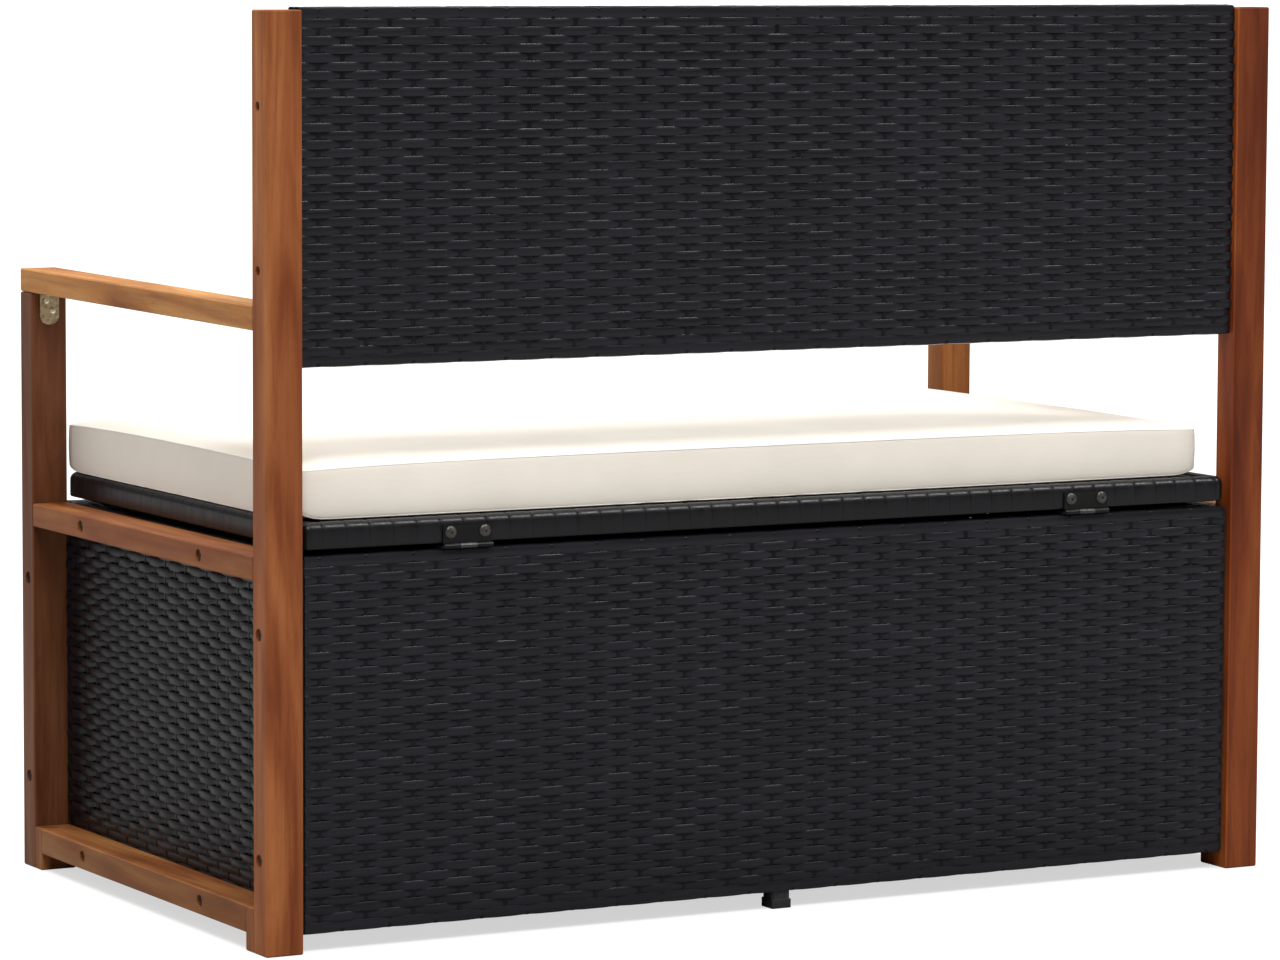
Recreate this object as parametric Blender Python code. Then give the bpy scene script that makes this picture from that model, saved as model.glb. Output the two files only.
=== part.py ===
"""Garden storage bench: two wooden side frames, woven panels on steel frames, a hinged lid and a cushion.

Metres, +Z up. The origin lies on the floor under the middle of the bench. The seat faces -Y and the
back panel stands at +Y. "left" is the -X side and "right" the +X side, as seen from in front.
"""
import math

import bmesh
import bpy
from mathutils import Matrix, Vector

# Whole bench
WIDTH = 1.084                # over the posts, along X
DEPTH = 0.572                # over the posts, along Y
PANEL_TOP = 0.855            # top of the woven back panel
POST_SHY = 0.0025            # how far the rear posts end below the panel's top
TOUCH = 0.0003               # gap between pieces that touch

# Wooden members
POST_WIDTH = 0.037           # along X, shared by posts, rails, feet and armrests
POST_DEPTH = 0.028           # along Y
FOOT_DEPTH = 0.017           # the block beside each post's foot, along Y
BOTTOM_RAIL_LOW = 0.0165
BOTTOM_RAIL_HEIGHT = 0.025
MID_RAIL_HEIGHT = 0.0225     # its top is level with the box's panels
ARM_TOP_FRONT = 0.592        # top of the armrest at its front end
ARM_DROP = 0.004             # how far the armrest falls toward the rear post
ARM_THICKNESS = 0.0225
WOOD_EASE = 0.0012           # chamfer along the wooden edges
TENON_WIDTH = 0.014          # along X
TENON_HEIGHT = 0.012         # the other way across
TENON_SHARE = 0.36           # how deep a tenon goes, as a share of the member it enters
TENON_FIT = 0.0003           # clearance all round a tenon

# Woven panels
BAR = 0.020                  # square steel frame bar
WEAVE = 0.0025               # thickness of the woven skin
PANEL_RECESS = 0.006         # panel face behind the posts' outer face
BACK_PANEL_LOW = 0.5315
BOX_LOW = 0.0160             # underside of the box's woven panels
BOX_TOP = 0.3620             # top of the box's woven panels
LEG_EASE = 0.002             # chamfer round the middle legs' feet
FLOOR_BOARD = 0.005          # thickness of the box's floor
FLOOR_FIT = 0.0003           # clearance between the floor board and the frames

# Lid
LID_GAP = 0.005              # between the box's panels and the lid
LID_LIP = 0.0017             # how far the woven tray hangs below its frame
LID_END_GAP = 0.0035         # between the lid's ends and the posts
LID_FRONT_SETBACK = 0.020    # lid's front edge behind the posts' front face
LID_CORNER = 0.008           # corner radius seen from above
LID_CORNER_STEPS = 3

# Cushion
CUSHION_LEFT_INSET = 0.014   # in from the lid's left end: the loose cushion lies a little to the right
CUSHION_RIGHT_OVERHANG = 0.002
CUSHION_FRONT_OVERHANG = 0.013
CUSHION_REAR_INSET = 0.017
CUSHION_THICKNESS = 0.050
CUSHION_CROWN = 0.004        # rise of the top's middle over its seam
CUSHION_DRAWN_IN = 0.003     # side band behind the two seams
CUSHION_CORNER = 0.018       # corner radius seen from above
CUSHION_CORNER_STEPS = 5
CUSHION_SIDE_STEPS = 12      # points along each straight side
CUSHION_SEAM = 0.0035        # seam line in from the flat bottom and from the top
CROWN_RINGS = 6

# Hinges
HINGE_INSET = 0.205          # hinge's middle in from the bench's outer face
LEAF_WIDTH = 0.050
LEAF_THICKNESS = 0.0015
LID_LEAF_HEIGHT = 0.019      # above the hinge axis
BOX_LEAF_REACH = 0.016       # how far the box leaf lies over the panel's top
KNUCKLE_RADIUS = 0.0025
KNUCKLE_SHARE = 0.0171       # length of the middle knuckle
PIN_RADIUS = 0.0012
PIN_OVERHANG = 0.0005
PIN_FIT = 0.0003
HINGE_SCREW_SPACING = 0.035
HINGE_SCREW_HEIGHT = 0.0125  # screws above the hinge axis
HINGE_SCREW_HEAD = 0.006
HINGE_SCREW_DOME = 0.0026
HINGE_SCREW_RADIUS = 0.0017
HINGE_SCREW_LENGTH = 0.014

# Bolts
BOLT_RADIUS = 0.0025
BOLT_FIT = 0.0003
BOLT_HEAD_GAP = 0.0005        # between a head and the wall of its counterbore
BOLT_HEAD_HEIGHT = 0.0030
BOLT_SOCKET_RADIUS = 0.0016
BOLT_SOCKET_DEPTH = 0.0014
COUNTERBORE_RADIUS = 0.0062
BACK_COUNTERBORE_RADIUS = 0.0046    # the back panel's bolts are smaller
COUNTERBORE_DEPTH = 0.0060
BOLT_BITE = 0.014            # how far a bolt reaches into its steel bar
BOLT_FROM_FACE = 0.0155      # post bolts in from the post's outer Y face
BACK_BOLT_INSET = 0.0883     # in from the back panel's lower and upper edges
REAR_BOLT_INSET = 0.0702     # in from the rear panel's lower and upper edges
FRONT_BOLT_INSET = 0.0745    # in from the front panel's lower and upper edges
RAIL_BOLT_SPACING = 0.277    # between a rail's two bolts

# Brackets under the armrests
BRACKET_WIDTH = 0.020
BRACKET_DROP = 0.031
BRACKET_REACH = 0.024
BRACKET_THICKNESS = 0.0015
BRACKET_ROUND = 0.0092
BRACKET_ROUND_STEPS = 4

ROUND_SIDES = 12             # facets on bolts, pins and their holes
CUT_PAST = 0.001             # how far a cutter runs past the face it opens

# Sizes that follow from the ones above
HALF_WIDTH = WIDTH / 2
HALF_DEPTH = DEPTH / 2
INNER_X = HALF_WIDTH - POST_WIDTH            # posts' inner faces
INNER_Y = HALF_DEPTH - POST_DEPTH            # posts' faces toward the rails
MEMBER_X = HALF_WIDTH - POST_WIDTH / 2       # middle of every wooden member
PANEL_Y = HALF_DEPTH - PANEL_RECESS          # outer face of the rear and front panels
FRAME_OUT_Y = PANEL_Y - WEAVE - TOUCH
FRAME_IN_Y = FRAME_OUT_Y - BAR
SIDE_FRAME_OUT_X = INNER_X - WEAVE - 2 * TOUCH
SIDE_FRAME_IN_X = SIDE_FRAME_OUT_X - BAR
FRAME_END_X = INNER_X - TOUCH
REAR_POST_TOP = PANEL_TOP - POST_SHY
MID_RAIL_LOW = BOX_TOP - MID_RAIL_HEIGHT
FOOT_HEIGHT = BOTTOM_RAIL_LOW + BOTTOM_RAIL_HEIGHT
BOX_FRAME_LOW = BOX_LOW + WEAVE + TOUCH
BOX_FRAME_TOP = BOX_TOP - WEAVE - TOUCH
FLOOR_LOW = BOX_FRAME_LOW + BAR + FLOOR_FIT
LID_UNDER = BOX_TOP + LID_GAP
LID_TOP = LID_UNDER + LID_LIP + BAR + TOUCH + WEAVE
LID_HALF_X = INNER_X - LID_END_GAP
LID_FRONT = -HALF_DEPTH + LID_FRONT_SETBACK
LID_BACK = PANEL_Y
LID_MIDDLE_Y = (LID_FRONT + LID_BACK) / 2
LID_HALF_Y = (LID_BACK - LID_FRONT) / 2
LID_FRAME_TOP = LID_TOP - WEAVE - TOUCH
CUSHION_LOW = LID_TOP + TOUCH
CUSHION_LEFT = -LID_HALF_X + CUSHION_LEFT_INSET
CUSHION_RIGHT = LID_HALF_X + CUSHION_RIGHT_OVERHANG
CUSHION_X = (CUSHION_LEFT + CUSHION_RIGHT) / 2
CUSHION_HALF_X = (CUSHION_RIGHT - CUSHION_LEFT) / 2
CUSHION_FRONT = LID_FRONT - CUSHION_FRONT_OVERHANG
CUSHION_BACK = LID_BACK - CUSHION_REAR_INSET
CUSHION_Y = (CUSHION_FRONT + CUSHION_BACK) / 2
CUSHION_HALF_Y = (CUSHION_BACK - CUSHION_FRONT) / 2
HINGE_SPACING = WIDTH - 2 * HINGE_INSET
HINGE_Y = PANEL_Y + TOUCH + KNUCKLE_RADIUS
HINGE_Z = (BOX_TOP + LID_UNDER) / 2
LID_LEAF_TOP = HINGE_Z + LID_LEAF_HEIGHT
SIDES = (("left", -1), ("right", 1))


def clear_scene():
    """Removes whatever the scene holds."""
    for found in list(bpy.data.objects):
        bpy.data.objects.remove(found, do_unlink=True)


def material(name, colour, roughness, metallic=0.0):
    """Plain Principled material."""
    made = bpy.data.materials.new(name)
    made.use_nodes = True
    surface = made.node_tree.nodes["Principled BSDF"]
    surface.inputs["Base Color"].default_value = (*colour, 1.0)
    surface.inputs["Roughness"].default_value = roughness
    surface.inputs["Metallic"].default_value = metallic
    made.diffuse_color = (*colour, 1.0)
    return made


def empty(name, location, parent=None):
    """An axis or group that carries pieces."""
    made = bpy.data.objects.new(name, None)
    bpy.context.collection.objects.link(made)
    made.parent = parent
    made.location = Vector(location) - (parent_place(parent) if parent else Vector())
    return made


def parent_place(parent):
    """World place of an empty that is only moved, never turned."""
    place = Vector(parent.location)
    if parent.parent:
        place += parent_place(parent.parent)
    return place


def add_object(name, mesh, finish, parent, smooth=False):
    """Puts a mesh drawn in world places under its parent, with its origin at the parent's."""
    made = bpy.data.objects.new(name, mesh)
    bpy.context.collection.objects.link(made)
    mesh.transform(Matrix.Translation(-parent_place(parent)))
    made.parent = parent
    mesh.materials.append(finish)
    if smooth:
        mesh.shade_smooth()
        mesh.set_sharp_from_angle(angle=math.radians(35))
    return made


def add_tool(name, mesh, target, operation):
    """A hidden helper solid that a Boolean adds to or cuts from its target."""
    tool = bpy.data.objects.new(name, mesh)
    bpy.context.collection.objects.link(tool)
    mesh.transform(Matrix.Translation(-parent_place(target.parent)))
    tool.parent = target.parent
    tool.hide_render = True
    tool.display_type = "WIRE"
    change = target.modifiers.new(name, "BOOLEAN")
    change.operation = operation
    change.solver = "EXACT"
    change.object = tool


def mesh_from(name, fill):
    """Mesh filled by the function given, which draws into a bmesh in world places."""
    bm = bmesh.new()
    fill(bm)
    bmesh.ops.recalc_face_normals(bm, faces=bm.faces)
    mesh = bpy.data.meshes.new(name)
    bm.to_mesh(mesh)
    bm.free()
    return mesh


def draw_box(bm, low, high, ease=0.0):
    """Box between two corners, its edges chamfered by ease."""
    low = Vector(low)
    high = Vector(high)
    size = high - low
    place = Matrix.Translation((low + high) / 2) @ Matrix.Diagonal((*size, 1.0))
    made = bmesh.ops.create_cube(bm, size=1.0, matrix=place)
    if ease > 0:
        edges = {edge for vert in made["verts"] for edge in vert.link_edges}
        bmesh.ops.bevel(bm, geom=list(edges), offset=ease, segments=1, affect="EDGES")


def draw_turned(bm, profile, start, direction, sides=ROUND_SIDES):
    """Turned solid: rings of (radius, distance) along a direction from a start point."""
    turn = Vector(direction).to_track_quat("Z", "Y").to_matrix().to_4x4()
    place = Matrix.Translation(start) @ turn
    rings = []
    for radius, distance in profile:
        ring = []
        for step in range(sides):
            angle = math.tau * (step + 0.5) / sides
            point = Vector((radius * math.cos(angle), radius * math.sin(angle), distance))
            ring.append(bm.verts.new(place @ point))
        rings.append(ring)
    for near, far in zip(rings, rings[1:]):
        for step in range(sides):
            after = (step + 1) % sides
            bm.faces.new((near[step], near[after], far[after], far[step]))
    bm.faces.new(list(reversed(rings[0])))
    bm.faces.new(rings[-1])


def rounded_outline(half_x, half_y, radius, steps, side_steps=1):
    """Points round a rectangle with round corners, counterclockwise from the right side's foot."""
    points = []
    corners = ((1, -1, -90), (1, 1, 0), (-1, 1, 90), (-1, -1, 180))
    for sign_x, sign_y, start in corners:
        centre = Vector((sign_x * (half_x - radius), sign_y * (half_y - radius)))
        arc = []
        for step in range(steps + 1):
            angle = math.radians(start + 90 * step / steps)
            arc.append(centre + radius * Vector((math.cos(angle), math.sin(angle))))
        if points:
            points.extend(straight_between(points[-1], arc[0], side_steps))
        points.extend(arc)
    points.extend(straight_between(points[-1], points[0], side_steps))
    return points


def straight_between(start, end, steps):
    """Inner points that divide a straight side."""
    return [start.lerp(end, step / steps) for step in range(1, steps)]


def draw_slab(bm, outline, middle_y, low, high):
    """Upright slab with the outline given, round a middle on the Y axis."""
    bottom = [bm.verts.new((point.x, point.y + middle_y, low)) for point in outline]
    top = [bm.verts.new((point.x, point.y + middle_y, high)) for point in outline]
    count = len(outline)
    for step in range(count):
        after = (step + 1) % count
        bm.faces.new((bottom[step], bottom[after], top[after], top[step]))
    bm.faces.new(list(reversed(bottom)))
    bm.faces.new(top)


def arm_top(y):
    """Height of the armrest's top at a place along it."""
    run = (y + HALF_DEPTH) / (INNER_Y + HALF_DEPTH)
    return ARM_TOP_FRONT - ARM_DROP * run


def arm_underside(y):
    """Height of the armrest's underside at a place along it."""
    return arm_top(y) - ARM_THICKNESS


def front_post_top():
    """Top of the front posts, under the lowest point of the armrest there."""
    return arm_underside(-INNER_Y) - TOUCH


def bolt_reach():
    """Length of a post bolt's shank, from its head's seat to its tip."""
    return POST_WIDTH - COUNTERBORE_DEPTH + TOUCH + BOLT_BITE


def rail_bolt_reach():
    """Length of a rail bolt's shank: it passes the woven skin too."""
    return bolt_reach() + WEAVE + TOUCH


def counterbore_radius(z):
    """Radius of a bolt's counterbore: smaller up on the back panel."""
    return BACK_COUNTERBORE_RADIUS if z > BACK_PANEL_LOW else COUNTERBORE_RADIUS


def draw_bolt_hole(bm, side, y, z, reach):
    """Hole with its counterbore, run in from a member's outer face."""
    radius = BOLT_RADIUS + BOLT_FIT
    wide = counterbore_radius(z)
    depth = COUNTERBORE_DEPTH + reach + BOLT_FIT
    profile = (
        (radius, 0.0),
        (radius, depth - COUNTERBORE_DEPTH),
        (wide, depth - COUNTERBORE_DEPTH),
        (wide, depth + CUT_PAST),
    )
    draw_turned(bm, profile, (side * (HALF_WIDTH - depth), y, z), (side, 0, 0))


def draw_bolt(bm, side, y, z, reach):
    """Bolt with a socket head that sits at the bottom of its counterbore."""
    seat = TOUCH
    head = counterbore_radius(z) - BOLT_HEAD_GAP
    profile = (
        (BOLT_RADIUS, 0.0),
        (BOLT_RADIUS, reach),
        (head, reach),
        (head, reach + BOLT_HEAD_HEIGHT),
        (BOLT_SOCKET_RADIUS, reach + BOLT_HEAD_HEIGHT),
        (BOLT_SOCKET_RADIUS, reach + BOLT_HEAD_HEIGHT - BOLT_SOCKET_DEPTH),
    )
    start_x = HALF_WIDTH - COUNTERBORE_DEPTH - reach + seat
    draw_turned(bm, profile, (side * start_x, y, z), (side, 0, 0))


def post_bolts():
    """Every bolt through a post: group, name, Y place and height."""
    rear_y = HALF_DEPTH - BOLT_FROM_FACE
    bolts = []
    for group, y, low, high, inset in (
        ("back", rear_y, BACK_PANEL_LOW, PANEL_TOP, BACK_BOLT_INSET),
        ("rear", rear_y, BOX_LOW, BOX_TOP, REAR_BOLT_INSET),
        ("front", -rear_y, BOX_LOW, BOX_TOP, FRONT_BOLT_INSET),
    ):
        bolts.append((group, f"{group}_panel_bolt_lower", y, low + inset))
        bolts.append((group, f"{group}_panel_bolt_upper", y, high - inset))
    return bolts


def rail_bolts():
    """Every bolt through a rail: group, name, Y place and height."""
    bolts = []
    for group, z in (
        ("mid_rail", MID_RAIL_LOW + MID_RAIL_HEIGHT / 2),
        ("bottom_rail", BOTTOM_RAIL_LOW + BOTTOM_RAIL_HEIGHT / 2),
    ):
        for end, sign in (("front", -1), ("rear", 1)):
            bolts.append((group, f"{group}_bolt_{end}", sign * RAIL_BOLT_SPACING / 2, z))
    return bolts


def draw_tenon(bm, centre, axis, entered, grow=0.0):
    """Tenon, or with grow the mortise round it, centred on the face of the member it enters."""
    half = Vector((TENON_WIDTH / 2 + grow, TENON_HEIGHT / 2 + grow, TENON_HEIGHT / 2 + grow))
    half[axis] = TENON_SHARE * entered + grow
    centre = Vector(centre)
    draw_box(bm, centre - half, centre + half)


def tenon_joints(side):
    """Joint faces of one side frame: name, then centre, axis and depth of the member entered."""
    x = side * MEMBER_X
    mid_z = MID_RAIL_LOW + MID_RAIL_HEIGHT / 2
    low_z = BOTTOM_RAIL_LOW + BOTTOM_RAIL_HEIGHT / 2
    foot_y = INNER_Y - FOOT_DEPTH
    arm_z = arm_underside(INNER_Y) + ARM_THICKNESS / 2
    post_y = -(HALF_DEPTH + INNER_Y) / 2
    return {
        "mid_front": ((x, -INNER_Y, mid_z), 1, POST_DEPTH),
        "mid_rear": ((x, INNER_Y, mid_z), 1, POST_DEPTH),
        "low_front": ((x, -foot_y, low_z), 1, FOOT_DEPTH),
        "low_rear": ((x, foot_y, low_z), 1, FOOT_DEPTH),
        "arm_rear": ((x, INNER_Y, arm_z), 1, POST_DEPTH),
        "arm_front": ((x, post_y, front_post_top()), 2, ARM_THICKNESS),
    }


def add_tenons(target, joints, names):
    """Joins the named tenons to a wooden member."""
    def fill(bm):
        for name in names:
            draw_tenon(bm, *joints[name])
    add_tool(f"{target.name}_tenons", mesh_from(target.name, fill), target, "UNION")


def cut_member(target, joints, mortises, side, holes, reach):
    """Cuts the named mortises and the bolt holes from a wooden member."""
    def fill(bm):
        for name in mortises:
            draw_tenon(bm, *joints[name], grow=TENON_FIT)
        for y, z in holes:
            draw_bolt_hole(bm, side, y, z, reach)
    add_tool(f"{target.name}_cuts", mesh_from(target.name, fill), target, "DIFFERENCE")


def member_box(name, side, low, high, finish, root):
    """Wooden member of the common width, from its Y and Z limits."""
    x = sorted((side * INNER_X, side * HALF_WIDTH))
    mesh = mesh_from(name, lambda bm: draw_box(
        bm, (x[0], low[0], low[1]), (x[1], high[0], high[1]), WOOD_EASE))
    return add_object(name, mesh, finish, root)


def build_side_frame(label, side, wood, root):
    """Posts, feet, rails and armrest of one side."""
    joints = tenon_joints(side)
    holes = {}
    for group, _, y, z in post_bolts() + rail_bolts():
        holes.setdefault(group, []).append((y, z))

    rear = member_box(f"rear_post_{label}", side, (INNER_Y, 0.0), (HALF_DEPTH, REAR_POST_TOP), wood, root)
    cut_member(rear, joints, ("mid_rear", "arm_rear"), side, holes["back"] + holes["rear"], bolt_reach())

    front = member_box(
        f"front_post_{label}", side, (-HALF_DEPTH, 0.0), (-INNER_Y, front_post_top()), wood, root)
    add_tenons(front, joints, ("arm_front",))
    cut_member(front, joints, ("mid_front",), side, holes["front"], bolt_reach())

    foot_y = INNER_Y - TOUCH
    foot_in = INNER_Y - FOOT_DEPTH
    for end, sign in (("rear", 1), ("front", -1)):
        y = sorted((sign * foot_y, sign * foot_in))
        foot = member_box(f"{end}_foot_{label}", side, (y[0], 0.0), (y[1], FOOT_HEIGHT), wood, root)
        cut_member(foot, joints, (f"low_{end}",), side, (), 0.0)

    rail_end = foot_in - TOUCH
    low_rail = member_box(
        f"bottom_rail_{label}", side, (-rail_end, BOTTOM_RAIL_LOW),
        (rail_end, BOTTOM_RAIL_LOW + BOTTOM_RAIL_HEIGHT), wood, root)
    add_tenons(low_rail, joints, ("low_front", "low_rear"))
    cut_member(low_rail, joints, (), side, holes["bottom_rail"], rail_bolt_reach())

    mid_end = INNER_Y - TOUCH
    mid_rail = member_box(
        f"mid_rail_{label}", side, (-mid_end, MID_RAIL_LOW),
        (mid_end, MID_RAIL_LOW + MID_RAIL_HEIGHT), wood, root)
    add_tenons(mid_rail, joints, ("mid_front", "mid_rear"))
    cut_member(mid_rail, joints, (), side, holes["mid_rail"], rail_bolt_reach())

    build_armrest(label, side, joints, wood, root)


def build_armrest(label, side, joints, wood, root):
    """Armrest that stands on the front post, falls a little and butts on the rear post."""
    def fill(bm):
        x = sorted((side * INNER_X, side * HALF_WIDTH))
        rear_y = INNER_Y - TOUCH
        draw_box(bm, (x[0], -HALF_DEPTH, -ARM_THICKNESS), (x[1], rear_y, 0.0), WOOD_EASE)
        for vert in bm.verts:
            vert.co.z += arm_top(vert.co.y)
    name = f"armrest_{label}"
    arm = add_object(name, mesh_from(name, fill), wood, root)
    add_tenons(arm, joints, ("arm_rear",))
    cut_member(arm, joints, ("arm_front",), side, (), 0.0)


def build_ladder(name, low, high, across, bays, finish, root):
    """Steel frame cut from one slab: low and high are its corners, bays its open fields."""
    mesh = mesh_from(name, lambda bm: draw_box(bm, low, high))
    frame = add_object(name, mesh, finish, root)

    def fill(bm):
        for bay_low, bay_high in bays:
            cut_low = Vector(bay_low)
            cut_high = Vector(bay_high)
            cut_low[across] = low[across] - CUT_PAST
            cut_high[across] = high[across] + CUT_PAST
            draw_box(bm, cut_low, cut_high)
    add_tool(f"{name}_bays", mesh_from(name, fill), frame, "DIFFERENCE")
    return frame


def split_bays(start, end):
    """The two open fields between a frame's end bars and its middle bar."""
    return ((start + BAR, -BAR / 2), (BAR / 2, end - BAR))


def long_frame(name, y_low, y_high, z_low, z_high, finish, root):
    """Upright frame between the posts, with a middle bar."""
    bays = []
    for x_low, x_high in split_bays(-FRAME_END_X, FRAME_END_X):
        bays.append(((x_low, y_low, z_low + BAR), (x_high, y_high, z_high - BAR)))
    low = (-FRAME_END_X, y_low, z_low)
    high = (FRAME_END_X, y_high, z_high)
    return build_ladder(name, low, high, 1, bays, finish, root)


def cut_post_holes(frame, group):
    """Blind holes in a frame's end bars for the bolts of its group."""
    def fill(bm):
        for _, side in SIDES:
            for found, _, y, z in post_bolts():
                if found == group:
                    draw_bolt_hole(bm, side, y, z, bolt_reach())
    add_tool(f"{frame.name}_holes", mesh_from(frame.name, fill), frame, "DIFFERENCE")


def build_back_panel(steel, weave, root):
    """Backrest: a steel frame in a woven sleeve."""
    y_low = PANEL_Y - 2 * WEAVE - 2 * TOUCH - BAR
    z_low = BACK_PANEL_LOW + WEAVE + TOUCH
    z_high = PANEL_TOP - WEAVE - TOUCH
    frame = long_frame("back_frame", y_low + WEAVE + TOUCH, FRAME_OUT_Y, z_low, z_high, steel, root)
    cut_post_holes(frame, "back")

    mesh = mesh_from("back_weave", lambda bm: draw_box(
        bm, (-FRAME_END_X, y_low, BACK_PANEL_LOW), (FRAME_END_X, PANEL_Y, PANEL_TOP)))
    sleeve = add_object("back_weave", mesh, weave, root)
    hollow = mesh_from("back_weave_hollow", lambda bm: draw_box(
        bm, (-INNER_X - CUT_PAST, y_low + WEAVE, BACK_PANEL_LOW + WEAVE),
        (INNER_X + CUT_PAST, PANEL_Y - WEAVE, PANEL_TOP - WEAVE)))
    add_tool("back_weave_hollow", hollow, sleeve, "DIFFERENCE")


def build_long_box_panel(end, sign, steel, weave, root):
    """Rear or front wall of the box: frame with its middle leg, and a woven tray over it."""
    frame_y = sorted((sign * FRAME_IN_Y, sign * FRAME_OUT_Y))
    frame = long_frame(f"{end}_frame", *frame_y, BOX_FRAME_LOW, BOX_FRAME_TOP, steel, root)
    leg = mesh_from(f"{end}_leg", lambda bm: draw_box(
        bm, (-BAR / 2 + TOUCH, frame_y[0] + TOUCH, 0.0),
        (BAR / 2 - TOUCH, frame_y[1] - TOUCH, BOX_FRAME_LOW + BAR / 2), LEG_EASE))
    add_tool(f"{end}_leg", leg, frame, "UNION")
    cut_post_holes(frame, end)

    name = f"{end}_weave"
    tray_y = sorted((sign * FRAME_IN_Y, sign * PANEL_Y))
    mesh = mesh_from(name, lambda bm: draw_box(
        bm, (-FRAME_END_X, tray_y[0], BOX_LOW), (FRAME_END_X, tray_y[1], BOX_TOP)))
    tray = add_object(name, mesh, weave, root)

    def fill(bm):
        hollow_y = sorted((sign * (FRAME_IN_Y - CUT_PAST), sign * (PANEL_Y - WEAVE)))
        draw_box(bm, (-INNER_X - CUT_PAST, hollow_y[0], BOX_LOW + WEAVE),
                 (INNER_X + CUT_PAST, hollow_y[1], BOX_TOP - WEAVE))
    add_tool(f"{name}_hollow", mesh_from(name, fill), tray, "DIFFERENCE")

    def notch(bm):
        notch_y = sorted((sign * (FRAME_IN_Y - CUT_PAST), sign * (FRAME_OUT_Y + TOUCH / 2)))
        draw_box(bm, (-BAR / 2 - TOUCH, notch_y[0], BOX_LOW - CUT_PAST),
                 (BAR / 2 + TOUCH, notch_y[1], BOX_LOW + WEAVE + CUT_PAST))
    add_tool(f"{name}_leg_notch", mesh_from(name, notch), tray, "DIFFERENCE")


def build_side_panel(label, side, steel, weave, root):
    """End wall of the box, bolted to the two rails through its woven skin."""
    end_y = FRAME_IN_Y - TOUCH
    x = sorted((side * SIDE_FRAME_IN_X, side * SIDE_FRAME_OUT_X))
    bay = (
        (x[0], -end_y + BAR, BOX_FRAME_LOW + BAR),
        (x[1], end_y - BAR, BOX_FRAME_TOP - BAR),
    )
    low = (x[0], -end_y, BOX_FRAME_LOW)
    high = (x[1], end_y, BOX_FRAME_TOP)
    frame = build_ladder(f"side_frame_{label}", low, high, 0, (bay,), steel, root)

    def holes(bm):
        for _, _, y, z in rail_bolts():
            draw_bolt_hole(bm, side, y, z, rail_bolt_reach())
    add_tool(f"{frame.name}_holes", mesh_from(frame.name, holes), frame, "DIFFERENCE")

    name = f"side_weave_{label}"
    tray_x = sorted((side * SIDE_FRAME_IN_X, side * (INNER_X - TOUCH)))
    mesh = mesh_from(name, lambda bm: draw_box(
        bm, (tray_x[0], -end_y, BOX_LOW), (tray_x[1], end_y, BOX_TOP)))
    tray = add_object(name, mesh, weave, root)

    def hollow(bm):
        hollow_x = sorted((side * (SIDE_FRAME_IN_X - CUT_PAST), side * (INNER_X - TOUCH - WEAVE)))
        draw_box(bm, (hollow_x[0], -end_y - CUT_PAST, BOX_LOW + WEAVE),
                 (hollow_x[1], end_y + CUT_PAST, BOX_TOP - WEAVE))
    add_tool(f"{name}_hollow", mesh_from(name, hollow), tray, "DIFFERENCE")
    add_tool(f"{name}_holes", mesh_from(name, holes), tray, "DIFFERENCE")


def build_floor(finish, root):
    """Floor board that lies on the frames' bottom bars, notched round their upright bars."""
    low = FLOOR_LOW
    high = FLOOR_LOW + FLOOR_BOARD
    between_sides = SIDE_FRAME_IN_X - FLOOR_FIT
    over_long_bars = PANEL_Y - WEAVE - FLOOR_FIT
    over_side_bars = INNER_X - TOUCH - WEAVE - FLOOR_FIT
    between_uprights = FRAME_IN_Y - TOUCH - BAR - FLOOR_FIT
    mesh = mesh_from("floor_board", lambda bm: draw_box(
        bm, (-over_side_bars, -over_long_bars, low), (over_side_bars, over_long_bars, high)))
    board = add_object("floor_board", mesh, finish, root)

    def notches(bm):
        for sign_y in (-1, 1):
            for sign_x in (-1, 1):
                x = sorted((sign_x * between_sides, sign_x * HALF_WIDTH))
                y = sorted((sign_y * between_uprights, sign_y * HALF_DEPTH))
                draw_box(bm, (x[0], y[0], low - CUT_PAST), (x[1], y[1], high + CUT_PAST))
            y = sorted((sign_y * (FRAME_IN_Y - FLOOR_FIT), sign_y * HALF_DEPTH))
            half = BAR / 2 + FLOOR_FIT
            draw_box(bm, (-half, y[0], low - CUT_PAST), (half, y[1], high + CUT_PAST))
    add_tool("floor_board_notches", mesh_from("floor_board", notches), board, "DIFFERENCE")


def hinge_places():
    """Middle of each hinge along X, with its label."""
    return [(label, side * HINGE_SPACING / 2) for label, side in SIDES]


def hinge_screw_places():
    """Every lid-leaf screw: name and X place."""
    screws = []
    for label, middle in hinge_places():
        for which, sign in (("outer", 1), ("inner", -1)):
            shift = math.copysign(1, middle) * sign * HINGE_SCREW_SPACING / 2
            screws.append((f"hinge_screw_{label}_{which}", middle + shift))
    return screws


def draw_hinge_screw_hole(bm, x):
    """Pilot hole from behind the leaf into the lid's rear bar."""
    radius = HINGE_SCREW_RADIUS + PIN_FIT
    start = HINGE_Y + KNUCKLE_RADIUS
    depth = start - PANEL_Y + HINGE_SCREW_LENGTH + PIN_FIT
    profile = ((radius, 0.0), (radius, depth))
    draw_turned(bm, profile, (x, start, HINGE_Z + HINGE_SCREW_HEIGHT), (0, -1, 0))


def cut_hinge_screw_holes(target, xs):
    """Cuts the lid-leaf screws' holes."""
    def fill(bm):
        for x in xs:
            draw_hinge_screw_hole(bm, x)
    add_tool(f"{target.name}_screw_holes", mesh_from(target.name, fill), target, "DIFFERENCE")


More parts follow.
